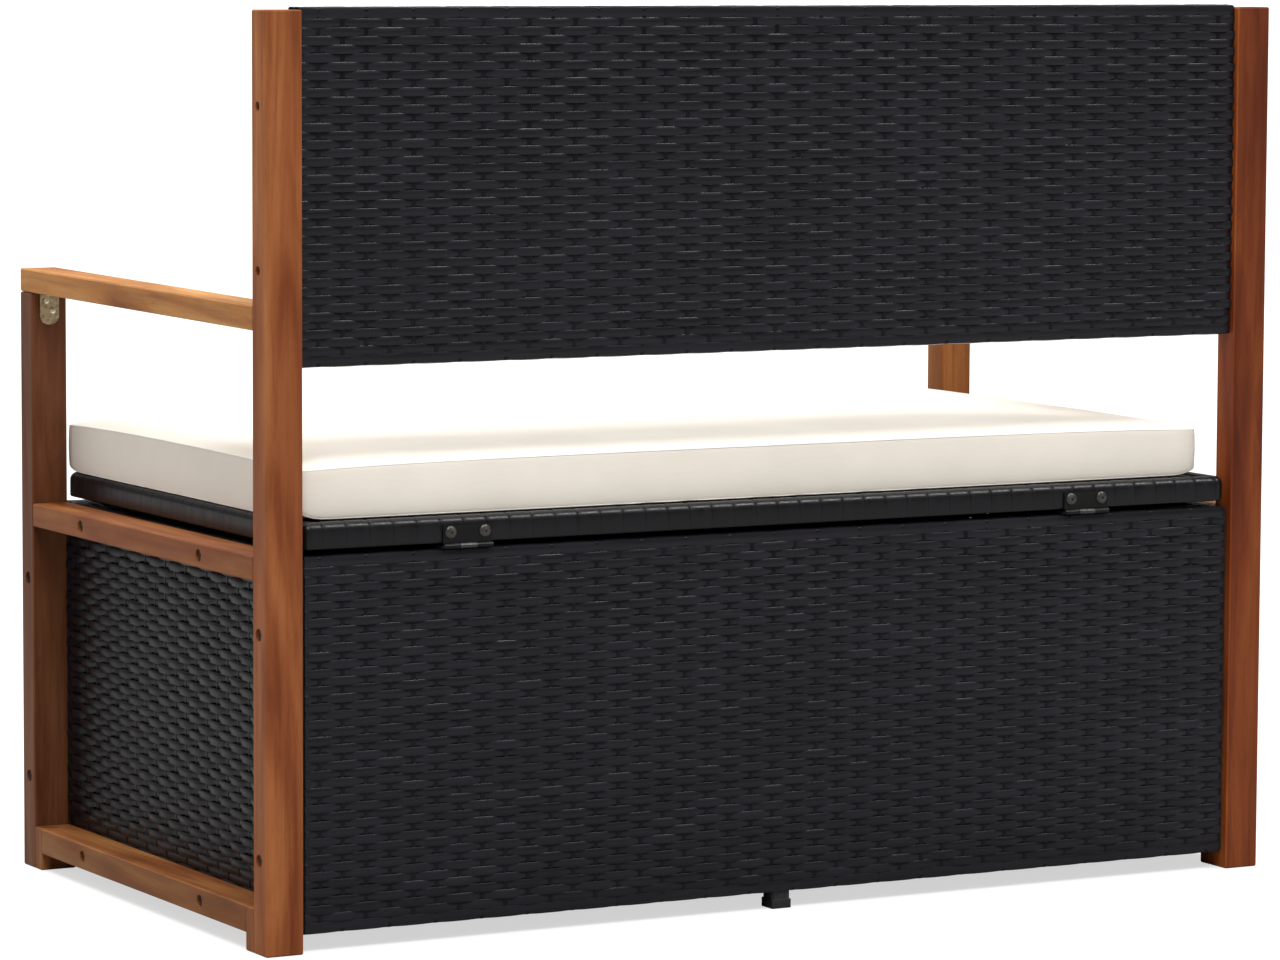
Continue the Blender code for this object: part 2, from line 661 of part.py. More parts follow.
def build_lid(steel, weave, axis):
    """Lid: steel frame with a middle bar in a woven tray that is open below."""
    inset = WEAVE + TOUCH
    half_x = LID_HALF_X - inset
    half_y = LID_HALF_Y - inset
    low_z = LID_FRAME_TOP - BAR
    outline = rounded_outline(half_x, half_y, LID_CORNER - inset, LID_CORNER_STEPS)
    mesh = mesh_from("lid_frame", lambda bm: draw_slab(bm, outline, LID_MIDDLE_Y, low_z, LID_FRAME_TOP))
    frame = add_object("lid_frame", mesh, steel, axis)

    def bays(bm):
        y_low = LID_MIDDLE_Y - half_y + BAR
        y_high = LID_MIDDLE_Y + half_y - BAR
        for x_low, x_high in split_bays(-half_x, half_x):
            draw_box(bm, (x_low, y_low, low_z - CUT_PAST), (x_high, y_high, LID_FRAME_TOP + CUT_PAST))
    add_tool("lid_frame_bays", mesh_from("lid_frame", bays), frame, "DIFFERENCE")

    skin = rounded_outline(LID_HALF_X, LID_HALF_Y, LID_CORNER, LID_CORNER_STEPS)
    mesh = mesh_from("lid_weave", lambda bm: draw_slab(bm, skin, LID_MIDDLE_Y, LID_UNDER, LID_TOP))
    tray = add_object("lid_weave", mesh, weave, axis)
    inside = rounded_outline(
        LID_HALF_X - WEAVE, LID_HALF_Y - WEAVE, LID_CORNER - WEAVE, LID_CORNER_STEPS)
    hollow = mesh_from("lid_weave_hollow", lambda bm: draw_slab(
        bm, inside, LID_MIDDLE_Y, LID_UNDER - CUT_PAST, LID_TOP - WEAVE))
    add_tool("lid_weave_hollow", hollow, tray, "DIFFERENCE")

    xs = [x for _, x in hinge_screw_places()]
    cut_hinge_screw_holes(frame, xs)
    cut_hinge_screw_holes(tray, xs)


def draw_knuckle(bm, low_x, high_x):
    """Solid knuckle barrel on the hinge axis."""
    profile = ((KNUCKLE_RADIUS, 0.0), (KNUCKLE_RADIUS, high_x - low_x))
    draw_turned(bm, profile, (low_x, HINGE_Y, HINGE_Z), (1, 0, 0))


def cut_pin_bore(leaf, middle):
    """Bores a leaf's knuckles for the pin."""
    radius = PIN_RADIUS + PIN_FIT
    length = LEAF_WIDTH + 2 * CUT_PAST
    profile = ((radius, 0.0), (radius, length))
    mesh = mesh_from(leaf.name, lambda bm: draw_turned(
        bm, profile, (middle - length / 2, HINGE_Y, HINGE_Z), (1, 0, 0)))
    add_tool(f"{leaf.name}_bore", mesh, leaf, "DIFFERENCE")


def build_hinge(label, middle, steel, root, axis):
    """Butt hinge: leaf on the lid's rear edge, leaf on the box's top, and the pin between."""
    half = LEAF_WIDTH / 2
    shared = KNUCKLE_SHARE / 2
    plate_y = (PANEL_Y + TOUCH, PANEL_Y + TOUCH + LEAF_THICKNESS)
    plate_low = HINGE_Z + KNUCKLE_RADIUS + TOUCH

    name = f"hinge_lid_leaf_{label}"
    mesh = mesh_from(name, lambda bm: draw_box(
        bm, (middle - half, plate_y[0], plate_low), (middle + half, plate_y[1], LID_LEAF_TOP)))
    lid_leaf = add_object(name, mesh, steel, axis)
    for part, start, end in (("near", -half, -shared - TOUCH), ("far", shared + TOUCH, half)):
        tab = mesh_from(f"{name}_tab", lambda bm, start=start, end=end: draw_box(
            bm, (middle + start, plate_y[0], HINGE_Z), (middle + end, plate_y[1], plate_low + CUT_PAST)))
        add_tool(f"{name}_{part}_tab", tab, lid_leaf, "UNION")
        barrel = mesh_from(f"{name}_barrel", lambda bm, start=start, end=end: draw_knuckle(
            bm, middle + start, middle + end))
        add_tool(f"{name}_{part}_barrel", barrel, lid_leaf, "UNION")
    cut_pin_bore(lid_leaf, middle)
    cut_hinge_screw_holes(lid_leaf, [x for found, x in hinge_screw_places() if f"_{label}_" in found])

    name = f"hinge_box_leaf_{label}"
    leaf_low = BOX_TOP + TOUCH
    leaf_high = leaf_low + LEAF_THICKNESS
    leaf_end = PANEL_Y - TOUCH
    mesh = mesh_from(name, lambda bm: draw_box(
        bm, (middle - half, leaf_end - BOX_LEAF_REACH, leaf_low), (middle + half, leaf_end, leaf_high)))
    box_leaf = add_object(name, mesh, steel, root)
    tab = mesh_from(f"{name}_tab", lambda bm: draw_box(
        bm, (middle - shared, leaf_end - CUT_PAST, leaf_low), (middle + shared, HINGE_Y, leaf_high)))
    add_tool(f"{name}_tab", tab, box_leaf, "UNION")
    barrel = mesh_from(f"{name}_barrel", lambda bm: draw_knuckle(bm, middle - shared, middle + shared))
    add_tool(f"{name}_barrel", barrel, box_leaf, "UNION")
    cut_pin_bore(box_leaf, middle)

    name = f"hinge_pin_{label}"
    length = LEAF_WIDTH + 2 * PIN_OVERHANG
    profile = ((PIN_RADIUS, 0.0), (PIN_RADIUS, length))
    mesh = mesh_from(name, lambda bm: draw_turned(
        bm, profile, (middle - length / 2, HINGE_Y, HINGE_Z), (1, 0, 0)))
    add_object(name, mesh, steel, root, smooth=True)


def dome_profile():
    """Rings of a hinge screw: its shank, then its domed head."""
    seat = HINGE_SCREW_LENGTH
    rings = [(HINGE_SCREW_RADIUS, 0.0), (HINGE_SCREW_RADIUS, seat), (HINGE_SCREW_HEAD, seat)]
    steps = 4
    for step in range(1, steps):
        angle = math.radians(90 * step / steps)
        rings.append((HINGE_SCREW_HEAD * math.cos(angle), seat + HINGE_SCREW_DOME * math.sin(angle)))
    rings.append((HINGE_SCREW_RADIUS / 2, seat + HINGE_SCREW_DOME))
    return rings


def build_hinge_screws(steel, axis):
    """Dome-headed screws that hold the lid leaves."""
    seat_y = PANEL_Y + 2 * TOUCH + LEAF_THICKNESS
    for name, x in hinge_screw_places():
        mesh = mesh_from(name, lambda bm, x=x: draw_turned(
            bm, dome_profile(), (x, seat_y - HINGE_SCREW_LENGTH, HINGE_Z + HINGE_SCREW_HEIGHT), (0, 1, 0)))
        add_object(name, mesh, steel, axis, smooth=True)


def build_bracket(label, side, zinc, root):
    """Bent strap that ties the armrest to the front post's rear face."""
    x = side * MEMBER_X
    y = -INNER_Y + TOUCH
    top = arm_underside(y + BRACKET_REACH) - TOUCH
    half = BRACKET_WIDTH / 2
    corners = (
        (y, top),
        (y, top - BRACKET_DROP),
        (y + BRACKET_THICKNESS, top - BRACKET_DROP),
        (y + BRACKET_THICKNESS, top - BRACKET_THICKNESS),
        (y + BRACKET_REACH, top - BRACKET_THICKNESS),
        (y + BRACKET_REACH, top),
    )

    def fill(bm):
        near = [bm.verts.new((x - half, place_y, place_z)) for place_y, place_z in corners]
        far = [bm.verts.new((x + half, place_y, place_z)) for place_y, place_z in corners]
        count = len(corners)
        for step in range(count):
            after = (step + 1) % count
            bm.faces.new((near[step], near[after], far[after], far[step]))
        bm.faces.new(near)
        bm.faces.new(list(reversed(far)))
        ends = [edge for edge in bm.edges if is_strap_end(edge, top, y)]
        bmesh.ops.bevel(bm, geom=ends, offset=BRACKET_ROUND, segments=BRACKET_ROUND_STEPS, affect="EDGES")
    name = f"arm_bracket_{label}"
    add_object(name, mesh_from(name, fill), zinc, root)


def is_strap_end(edge, top, y):
    """True for the short edges through the strap's thickness at its two free ends."""
    first, second = (vert.co for vert in edge.verts)
    short = (first - second).length < 2 * BRACKET_THICKNESS
    low_end = max(first.z, second.z) < top - BRACKET_DROP / 2
    far_end = min(first.y, second.y) > y + BRACKET_REACH / 2
    return short and (low_end or far_end)


def build_bolts(zinc, root):
    """Bolts through posts and rails into the panels' steel frames."""
    for label, side in SIDES:
        jobs = [(found, bolt_reach()) for found in post_bolts()]
        jobs += [(found, rail_bolt_reach()) for found in rail_bolts()]
        for (_, title, y, z), reach in jobs:
            name = f"{title}_{label}"
            mesh = mesh_from(name, lambda bm, y=y, z=z, reach=reach: draw_bolt(bm, side, y, z, reach))
            add_object(name, mesh, zinc, root, smooth=True)


def cushion_rings():
    """Outlines of the cushion from its flat bottom to its crowned top: inset and height."""
    low = CUSHION_LOW
    seam_low = low + CUSHION_SEAM
    seam_high = low + CUSHION_THICKNESS - CUSHION_SEAM
    rings = [
        (CUSHION_SEAM, low),
        (0.0, seam_low),
        (CUSHION_DRAWN_IN, seam_low + CUSHION_THICKNESS / 6),
        (CUSHION_DRAWN_IN, seam_high - CUSHION_THICKNESS / 6),
        (0.0, seam_high),
        (CUSHION_SEAM, low + CUSHION_THICKNESS),
    ]
    reach = CUSHION_HALF_Y - CUSHION_CORNER
    for ring in range(1, CROWN_RINGS + 1):
        share = ring / (CROWN_RINGS + 1)
        rise = CUSHION_CROWN * math.sin(share * math.pi / 2)
        rings.append((CUSHION_SEAM + share * reach, low + CUSHION_THICKNESS + rise))
    return rings


def cushion_outline(inset):
    """Plan outline of the cushion, moved in by an inset."""
    radius = max(CUSHION_CORNER - inset, CUSHION_CORNER / 4)
    return rounded_outline(
        CUSHION_HALF_X - inset, CUSHION_HALF_Y - inset, radius,
        CUSHION_CORNER_STEPS, CUSHION_SIDE_STEPS)


def build_cushion(fabric, carrier):
    """Boxed cushion with a crowned top and side bands drawn in between its seams."""
    def fill(bm):
        rings = []
        for inset, height in cushion_rings():
            outline = cushion_outline(inset)
            rings.append([
                bm.verts.new((point.x + CUSHION_X, point.y + CUSHION_Y, height)) for point in outline])
        count = len(rings[0])
        for low, high in zip(rings, rings[1:]):
            for step in range(count):
                after = (step + 1) % count
                bm.faces.new((low[step], low[after], high[after], high[step]))
        bm.faces.new(list(reversed(rings[0])))
        bm.faces.new(rings[-1])
    add_object("seat_cushion", mesh_from("seat_cushion", fill), fabric, carrier, smooth=True)


def main():
    """Builds the bench."""
    clear_scene()
    wood = material("acacia_wood", (0.30, 0.125, 0.045), 0.5)
    weave = material("black_rattan", (0.018, 0.018, 0.020), 0.55)
    steel = material("black_steel", (0.02, 0.02, 0.021), 0.45, 0.6)
    zinc = material("zinc_plated", (0.55, 0.46, 0.30), 0.35, 1.0)
    fabric = material("cream_fabric", (0.83, 0.81, 0.76), 0.9)
    board = material("floor_board_grey", (0.06, 0.06, 0.06), 0.7)

    root = empty("bench", (0, 0, 0))
    lid_axis = empty("lid_axis", (0, HINGE_Y, HINGE_Z), root)
    cushion_slide = empty("cushion_slide", (CUSHION_X, CUSHION_Y, CUSHION_LOW), lid_axis)

    for label, side in SIDES:
        build_side_frame(label, side, wood, root)
        build_side_panel(label, side, steel, weave, root)
        build_bracket(label, side, zinc, root)
    build_back_panel(steel, weave, root)
    build_long_box_panel("rear", 1, steel, weave, root)
    build_long_box_panel("front", -1, steel, weave, root)
    build_floor(board, root)
    build_bolts(zinc, root)
    build_lid(steel, weave, lid_axis)
    for label, middle in hinge_places():
        build_hinge(label, middle, steel, root, lid_axis)
    build_hinge_screws(steel, lid_axis)
    build_cushion(fabric, cushion_slide)


main()
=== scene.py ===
"""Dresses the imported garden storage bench: woven panels, oiled wood, steel fittings and a seat cushion.

Metres, +Z up. The seat faces -Y and the back panel stands at +Y. "left" is the -X side and "right" the
+X side, as seen from in front.
"""
import logging
import math
from dataclasses import dataclass
from enum import Enum

import bmesh
import bpy
import numpy as np
from mathutils import Matrix, Vector
from mathutils.bvhtree import BVHTree


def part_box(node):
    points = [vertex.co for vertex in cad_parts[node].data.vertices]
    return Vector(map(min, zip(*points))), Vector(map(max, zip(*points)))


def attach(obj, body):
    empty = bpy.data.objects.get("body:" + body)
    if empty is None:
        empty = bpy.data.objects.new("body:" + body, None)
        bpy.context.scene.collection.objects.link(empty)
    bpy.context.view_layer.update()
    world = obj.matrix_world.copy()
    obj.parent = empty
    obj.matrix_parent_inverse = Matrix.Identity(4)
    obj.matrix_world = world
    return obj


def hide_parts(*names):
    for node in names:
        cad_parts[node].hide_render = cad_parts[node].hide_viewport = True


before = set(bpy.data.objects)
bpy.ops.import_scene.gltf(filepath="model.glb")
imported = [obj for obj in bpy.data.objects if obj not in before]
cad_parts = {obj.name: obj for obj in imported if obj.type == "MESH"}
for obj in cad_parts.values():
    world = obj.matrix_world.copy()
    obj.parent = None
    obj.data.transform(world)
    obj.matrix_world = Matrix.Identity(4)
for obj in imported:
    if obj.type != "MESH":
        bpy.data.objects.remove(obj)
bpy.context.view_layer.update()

LOG = logging.getLogger("storage_bench")
TINY = 1e-9
TOLERANCE = 1e-6
Point = tuple[float, float, float]
Stops = tuple[tuple[float, Point], ...]
WHITE: Point = (1.0, 1.0, 1.0)
FINE_CELL = (0.0, 0.16, 0.32, 0.48, 0.66)
COARSE_CELL = (0.0, 0.20, 0.42, 0.66)


class Axis(Enum):
    """A direction of the row frame, by its place in a point."""

    X = 0
    Y = 1
    Z = 2


class Side(Enum):
    """An end of the bench, by its sign along X."""

    LEFT = -1
    RIGHT = 1

    @property
    def label(self) -> str:
        """Word used in the pieces' names."""
        return self.name.lower()


class Slot(Enum):
    """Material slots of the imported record."""

    WOOD = "acacia_wood"
    RATTAN = "black_rattan"
    FRAME_STEEL = "black_frame_steel"
    HINGE_STEEL = "black_hinge_steel"
    ZINC = "zinc_plated_steel"
    FABRIC = "cream_fabric"
    FLOOR = "floor_sheet"


class Body(Enum):
    """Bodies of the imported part."""

    BENCH = "bench"
    LID = "lid"
    CUSHION = "cushion"


class Seed(Enum):
    """Seeds of the weave's small irregularities, one for each woven face."""

    REAR_PANEL = 11
    FRONT_PANEL = 12
    LEFT_PANEL = 13
    RIGHT_PANEL = 14
    BACK_PANEL_REAR = 21
    BACK_PANEL_FRONT = 22
    LID_TOP = 31
    LID_RIM = 33


# Finishes

# Radians that a wave texture of scale 1 turns in a metre.
WAVE_UNIT = 20.0

# Sockets of a colour mix, by number, because several of them share one name.
MIX_FACTOR, MIX_FIRST, MIX_SECOND, MIX_RESULT = 0, 6, 7, 2


class Graph:
    """A material's node tree, with short calls that add nodes and join them."""

    def __init__(self, name: str) -> None:
        """Starts a material that holds a Principled surface.

        Args:
            name: Name of the material.
        """
        self.material = bpy.data.materials.new(name)
        self.material.use_nodes = True
        self.tree = self.material.node_tree
        self.tree.nodes.clear()
        self.surface = self.tree.nodes.new("ShaderNodeBsdfPrincipled")
        output = self.tree.nodes.new("ShaderNodeOutputMaterial")
        self.tree.links.new(self.surface.outputs["BSDF"], output.inputs["Surface"])
        coordinates = self.tree.nodes.new("ShaderNodeTexCoord")
        self.place = coordinates.outputs["Object"]
        self.normal = coordinates.outputs["Normal"]

    def plug(self, socket: bpy.types.NodeSocket, value: object) -> None:
        """Links a socket to an output, or sets its value.

        Args:
            socket: Input to fill.
            value: An output socket, a number or a tuple.
        """
        if isinstance(value, bpy.types.NodeSocket):
            self.tree.links.new(value, socket)
        else:
            socket.default_value = value

    def settle(self, **values: object) -> None:
        """Fills the surface's inputs, named with underscores.

        Args:
            **values: Input names and what goes in them.
        """
        for name, value in values.items():
            self.plug(self.surface.inputs[name.replace("_", " ")], value)

    def stretch(self, scale: Point, shift: Point = (0.0, 0.0, 0.0)) -> bpy.types.NodeSocket:
        """Object coordinates, scaled and moved.

        Args:
            scale: Factor along each axis.
            shift: Move along each axis.

        Returns:
            The new coordinates.
        """
        node = self.tree.nodes.new("ShaderNodeMapping")
        self.plug(node.inputs["Vector"], self.place)
        node.inputs["Scale"].default_value = scale
        node.inputs["Location"].default_value = shift
        return node.outputs["Vector"]

    def noise(self, where: bpy.types.NodeSocket, scale: float = 1.0, detail: float = 2.0,
              roughness: float = 0.5, distortion: float = 0.0) -> bpy.types.NodeSocket:
        """Soft noise between 0 and 1.

        Args:
            where: Coordinates.
            scale: Cells per unit.
            detail: Octaves.
            roughness: Share of the finer octaves.
            distortion: Swirl.

        Returns:
            The value.
        """
        node = self.tree.nodes.new("ShaderNodeTexNoise")
        self.plug(node.inputs["Vector"], where)
        node.inputs["Scale"].default_value = scale
        node.inputs["Detail"].default_value = detail
        node.inputs["Roughness"].default_value = roughness
        node.inputs["Distortion"].default_value = distortion
        return node.outputs["Fac"]

    def ramp(self, factor: bpy.types.NodeSocket, stops: Stops) -> bpy.types.NodeSocket:
        """Colour by value.

        Args:
            factor: Value between 0 and 1.
            stops: Places and colours, in order.

        Returns:
            The colour.
        """
        node = self.tree.nodes.new("ShaderNodeValToRGB")
        self.plug(node.inputs["Fac"], factor)
        stones = node.color_ramp.elements
        while len(stones) < len(stops):
            stones.new(0.5)
        for stone, (place, colour) in zip(stones, stops):
            stone.position = place
            stone.color = (*colour, 1.0)
        return node.outputs["Color"]

    def blend(self, factor: object, first: object, second: object,
              way: str = "MIX") -> bpy.types.NodeSocket:
        """Mixes two colours.

        Args:
            factor: Share of the second colour.
            first: Colour or output.
            second: Colour or output.
            way: How they mix.

        Returns:
            The mixed colour.
        """
        node = self.tree.nodes.new("ShaderNodeMix")
        node.data_type = "RGBA"
        node.blend_type = way
        for number, value in ((MIX_FACTOR, factor), (MIX_FIRST, first), (MIX_SECOND, second)):
            if isinstance(value, tuple) and len(value) == 3:
                value = (*value, 1.0)
            self.plug(node.inputs[number], value)
        return node.outputs[MIX_RESULT]

    def tinted(self, colour: object, tint: object, share: float = 1.0) -> bpy.types.NodeSocket:
        """Multiplies a colour by a tint.

        Args:
            colour: Colour or output.
            tint: Colour or output.
            share: How much of the tint shows.

        Returns:
            The tinted colour.
        """
        return self.blend(share, colour, tint, "MULTIPLY")

    def span(self, value: bpy.types.NodeSocket, low: float, high: float,
             to_low: float, to_high: float) -> bpy.types.NodeSocket:
        """Maps a range of values onto another.

        Args:
            value: What is mapped.
            low: Start of its range.
            high: End of its range.
            to_low: Start of the new range.
            to_high: End of the new range.

        Returns:
            The mapped value.
        """
        node = self.tree.nodes.new("ShaderNodeMapRange")
        for name, filled in (("Value", value), ("From Min", low), ("From Max", high),
                             ("To Min", to_low), ("To Max", to_high)):
            self.plug(node.inputs[name], filled)
        return node.outputs["Result"]

    def sum_of(self, first: object, second: object, way: str = "ADD") -> bpy.types.NodeSocket:
        """Adds two values, or joins them another way.

        Args:
            first: Value or output.
            second: Value or output.
            way: Name of the operation.

        Returns:
            The result.
        """
        node = self.tree.nodes.new("ShaderNodeMath")
        node.operation = way
        self.plug(node.inputs[0], first)
        self.plug(node.inputs[1], second)
        return node.outputs["Value"]

    def facing_x(self, low: float = 0.45, high: float = 0.60) -> bpy.types.NodeSocket:
        """Tells faces that look along X from the others.

        Args:
            low: Size of the normal's X up to which a face counts as another one.
            high: Size from which it looks along X.

        Returns:
            1 on faces that look along X, 0 on the others.
        """
        split = self.tree.nodes.new("ShaderNodeSeparateXYZ")
        self.plug(split.inputs[0], self.normal)
        size = self.sum_of(split.outputs["X"], 0.0, "ABSOLUTE")
        return self.span(size, low, high, 0.0, 1.0)

    def threads(self, axis: Axis, pitch: float, wander: float = 0.0) -> bpy.types.NodeSocket:
        """Parallel ridges across an axis.

        Args:
            axis: Direction in which one ridge follows another.
            pitch: Distance between ridges.
            wander: How unevenly they run.

        Returns:
            Height of the ridges, 0 to 1.
        """
        node = self.tree.nodes.new("ShaderNodeTexWave")
        node.wave_type = "BANDS"
        node.bands_direction = axis.name
        self.plug(node.inputs["Vector"], self.place)
        node.inputs["Scale"].default_value = math.tau / WAVE_UNIT / pitch
        node.inputs["Distortion"].default_value = wander
        node.inputs["Detail"].default_value = 2.0
        node.inputs["Detail Scale"].default_value = 1.5
        return node.outputs["Fac"]

    def bump(self, height: object, depth: float, strength: float = 1.0,
             under: bpy.types.NodeSocket | None = None) -> bpy.types.NodeSocket:
        """Turns heights into a normal.

        Args:
            height: Height, 0 to 1.
            depth: What a height of 1 stands for, in metres.
            strength: Share of the effect.
            under: Normal that this one is laid on.

        Returns:
            The normal.
        """
        node = self.tree.nodes.new("ShaderNodeBump")
        node.inputs["Strength"].default_value = strength
        node.inputs["Distance"].default_value = depth
        self.plug(node.inputs["Height"], height)
        if under is not None:
            self.plug(node.inputs["Normal"], under)
        return node.outputs["Normal"]


def along_axis(axis: Axis, along: float, across: float) -> Point:
    """Scale with one value along an axis and another across it."""
    return tuple(along if place == axis.value else across for place in range(3))


def scaled(point: Point, factor: float) -> Point:
    """A colour made lighter or darker, or a point moved away from the origin."""
    return tuple(part * factor for part in point)


@dataclass(frozen=True)
class OiledWood:
    """Oiled acacia: warm streaks along the grain, fine pores and a satin film of oil.

    Attributes:
        name: Name of the material.
        grain: Axis that the fibres follow.
        seed: Shift that gives each member its own figure.
        tone: Tint of the whole member.
        flank: Further tint of the faces that look along X: painted light on that side of the member, partly
            the wood's own tone.
        heartwood: Colours of the broad figure.
        shift_rates: Move of the figure along each axis for a seed of 1.
        streak_tints: Tints of the streaks along the grain.
        patch_tints: Tints of the patches.
        pore_tints: Tints of the pores.
        streak_share: How much of the streaks shows.
        patch_share: How much of the patches shows.
        pore_share: How much of the pores shows.
        gloss: Least and greatest roughness.
        oil_sheen: Strength of the oil's reflections.
        pore_depth: Depth of the pores.
    """

    name: str
    grain: Axis
    seed: float
    tone: Point = WHITE
    flank: Point = WHITE
    heartwood: Stops = (
        (0.28, (0.200, 0.055, 0.016)),
        (0.44, (0.290, 0.092, 0.027)),
        (0.58, (0.365, 0.134, 0.042)),
        (0.76, (0.455, 0.195, 0.068)),
    )
    shift_rates: Point = (3.1, 1.7, 2.3)
    streak_tints: Stops = ((0.30, (0.66, 0.58, 0.52)), (0.50, WHITE), (0.74, (1.14, 1.15, 1.16)))
    patch_tints: Stops = ((0.32, (0.70, 0.58, 0.50)), (0.50, WHITE), (0.68, (1.20, 1.30, 1.40)))
    pore_tints: Stops = ((0.33, (0.52, 0.46, 0.42)), (0.45, WHITE))
    streak_share: float = 0.55
    patch_share: float = 0.8
    pore_share: float = 0.35
    gloss: tuple[float, float] = (0.42, 0.58)
    oil_sheen: float = 0.22
    pore_depth: float = 0.00012

    def make(self) -> bpy.types.Material:
        """Builds the material.

        Returns:
            The material.
        """
        graph = Graph(self.name)
        shift = scaled(self.shift_rates, self.seed)

        def fibres(along: float, across: float, **settings: float) -> bpy.types.NodeSocket:
            """Noise drawn out along the grain, with so many cells to the metre."""
            return graph.noise(graph.stretch(along_axis(self.grain, along, across), shift), **settings)

        figure = fibres(along=3.0, across=30.0, detail=3.0, roughness=0.55, distortion=1.2)
        streaks = fibres(along=7.0, across=190.0, detail=3.0, roughness=0.6, distortion=0.4)
        pores = fibres(along=90.0, across=1500.0, detail=2.0, roughness=0.6)
        patches = fibres(along=4.5, across=17.0, detail=2.0, roughness=0.5, distortion=0.6)
        colour = graph.tinted(graph.ramp(figure, self.heartwood), self.tone)
        colour = graph.tinted(colour, graph.ramp(streaks, self.streak_tints), self.streak_share)
        colour = graph.tinted(colour, graph.ramp(patches, self.patch_tints), self.patch_share)
        colour = graph.tinted(colour, graph.ramp(pores, self.pore_tints), self.pore_share)
        # Faces that look along X get the flank tint: painted light on that side of the member, partly the
        # wood's own tone.
        colour = graph.blend(graph.facing_x(), colour, graph.tinted(colour, self.flank))
        gloss = graph.span(streaks, 0.3, 0.7, *self.gloss)
        relief = graph.sum_of(pores, graph.sum_of(streaks, 0.8, "MULTIPLY"))
        graph.settle(Base_Color=colour, Roughness=gloss, Specular_IOR_Level=self.oil_sheen,
                     Normal=graph.bump(relief, depth=self.pore_depth, strength=0.6))
        return graph.material


@dataclass(frozen=True)
class WovenPlastic:
    """Black plastic rattan: fine ridges along each flat strand, with a silky sheen.

    Attributes:
        name: Name of the material.
        run: Axis that the strands follow.
        shade: Brightness of the colour.
        sheen: Strength of the reflections.
        dark: Colour of the darker lengths.
        light: Colour of the lighter lengths.
        gloss: Least and greatest roughness.
    """

    name: str
    run: Axis
    shade: float = 1.0
    sheen: float = 0.27
    dark: Point = (0.0070, 0.0062, 0.0085)
    light: Point = (0.0126, 0.0112, 0.0156)
    gloss: tuple[float, float] = (0.29, 0.40)

    def make(self) -> bpy.types.Material:
        """Builds the material.

        Returns:
            The material.
        """
        graph = Graph(self.name)
        ridges = graph.noise(graph.stretch(along_axis(self.run, 14.0, 1500.0)), detail=2.0, roughness=0.6)
        tone = graph.noise(graph.stretch(along_axis(self.run, 9.0, 130.0)), detail=2.0, roughness=0.5)
        grain = graph.noise(graph.place, scale=900.0, detail=2.0, roughness=0.6)
        dark, light = scaled(self.dark, self.shade), scaled(self.light, self.shade)
        colour = graph.ramp(tone, ((0.30, dark), (0.70, light)))
        # The ridges are tinted lighter and the hollows between them darker: painted highlight and painted
        # shade on the fine ridges.
        ridge_light_tints = ((0.35, (0.65, 0.65, 0.65)), (0.65, (1.25, 1.25, 1.28)))
        colour = graph.tinted(colour, graph.ramp(ridges, ridge_light_tints), 0.25)
        normal = graph.bump(ridges, depth=0.00006, strength=0.7)
        normal = graph.bump(grain, depth=0.00003, strength=0.6, under=normal)
        graph.settle(Base_Color=colour, Roughness=graph.span(tone, 0.3, 0.7, *self.gloss),
                     Specular_IOR_Level=self.sheen, Normal=normal)
        return graph.material


@dataclass(frozen=True)
class PaintedSteel:
    """Black painted or coated steel with a faint orange-peel surface and rubbed spots.

    Attributes:
        name: Name of the material.
        shade: Brightness of the paint.
        gloss: Roughness of the paint.
        warmth: Tint of the paint.
        sheen: Strength of the reflections.
    """

    name: str
    shade: float = 0.012
    gloss: float = 0.42
    warmth: Point = WHITE
    sheen: float = 0.42

    def make(self) -> bpy.types.Material:
        """Builds the material.

        Returns:
            The material.
        """
        graph = Graph(self.name)
        peel = graph.noise(graph.place, scale=700.0, detail=2.0, roughness=0.5)
        rubs = graph.noise(graph.place, scale=180.0, detail=3.0, roughness=0.6)
        paint = scaled(self.warmth, self.shade)
        colour = graph.ramp(rubs, ((0.45, paint), (0.72, scaled(paint, 2.2))))
        graph.settle(Base_Color=colour, Roughness=graph.span(rubs, 0.35, 0.7, self.gloss, self.gloss + 0.14),
                     Specular_IOR_Level=self.sheen, Normal=graph.bump(peel, depth=0.00004, strength=0.5))
        return graph.material


@dataclass(frozen=True)
class PlatedSteel:
    """Yellowish zinc-plated steel with dull spots and fine scratches.

    Attributes:
        name: Name of the material.
        colour: Tint of the plating.
        gloss: Roughness where it is bright.
    """

    name: str
    colour: Point = (0.46, 0.38, 0.24)
    gloss: float = 0.34

    def make(self) -> bpy.types.Material:
        """Builds the material.

        Returns:
            The material.
        """
        graph = Graph(self.name)
        spots = graph.noise(graph.place, scale=260.0, detail=3.0, roughness=0.6)
        scratches = graph.noise(graph.stretch((900.0, 2600.0, 300.0)), detail=2.0, roughness=0.6)
        colour = graph.ramp(spots, ((0.35, scaled(self.colour, 0.55)), (0.62, self.colour)))
        graph.settle(Base_Color=colour, Metallic=1.0,
                     Roughness=graph.span(spots, 0.3, 0.7, self.gloss + 0.25, self.gloss),
                     Normal=graph.bump(scratches, depth=0.00003, strength=0.5))
        return graph.material


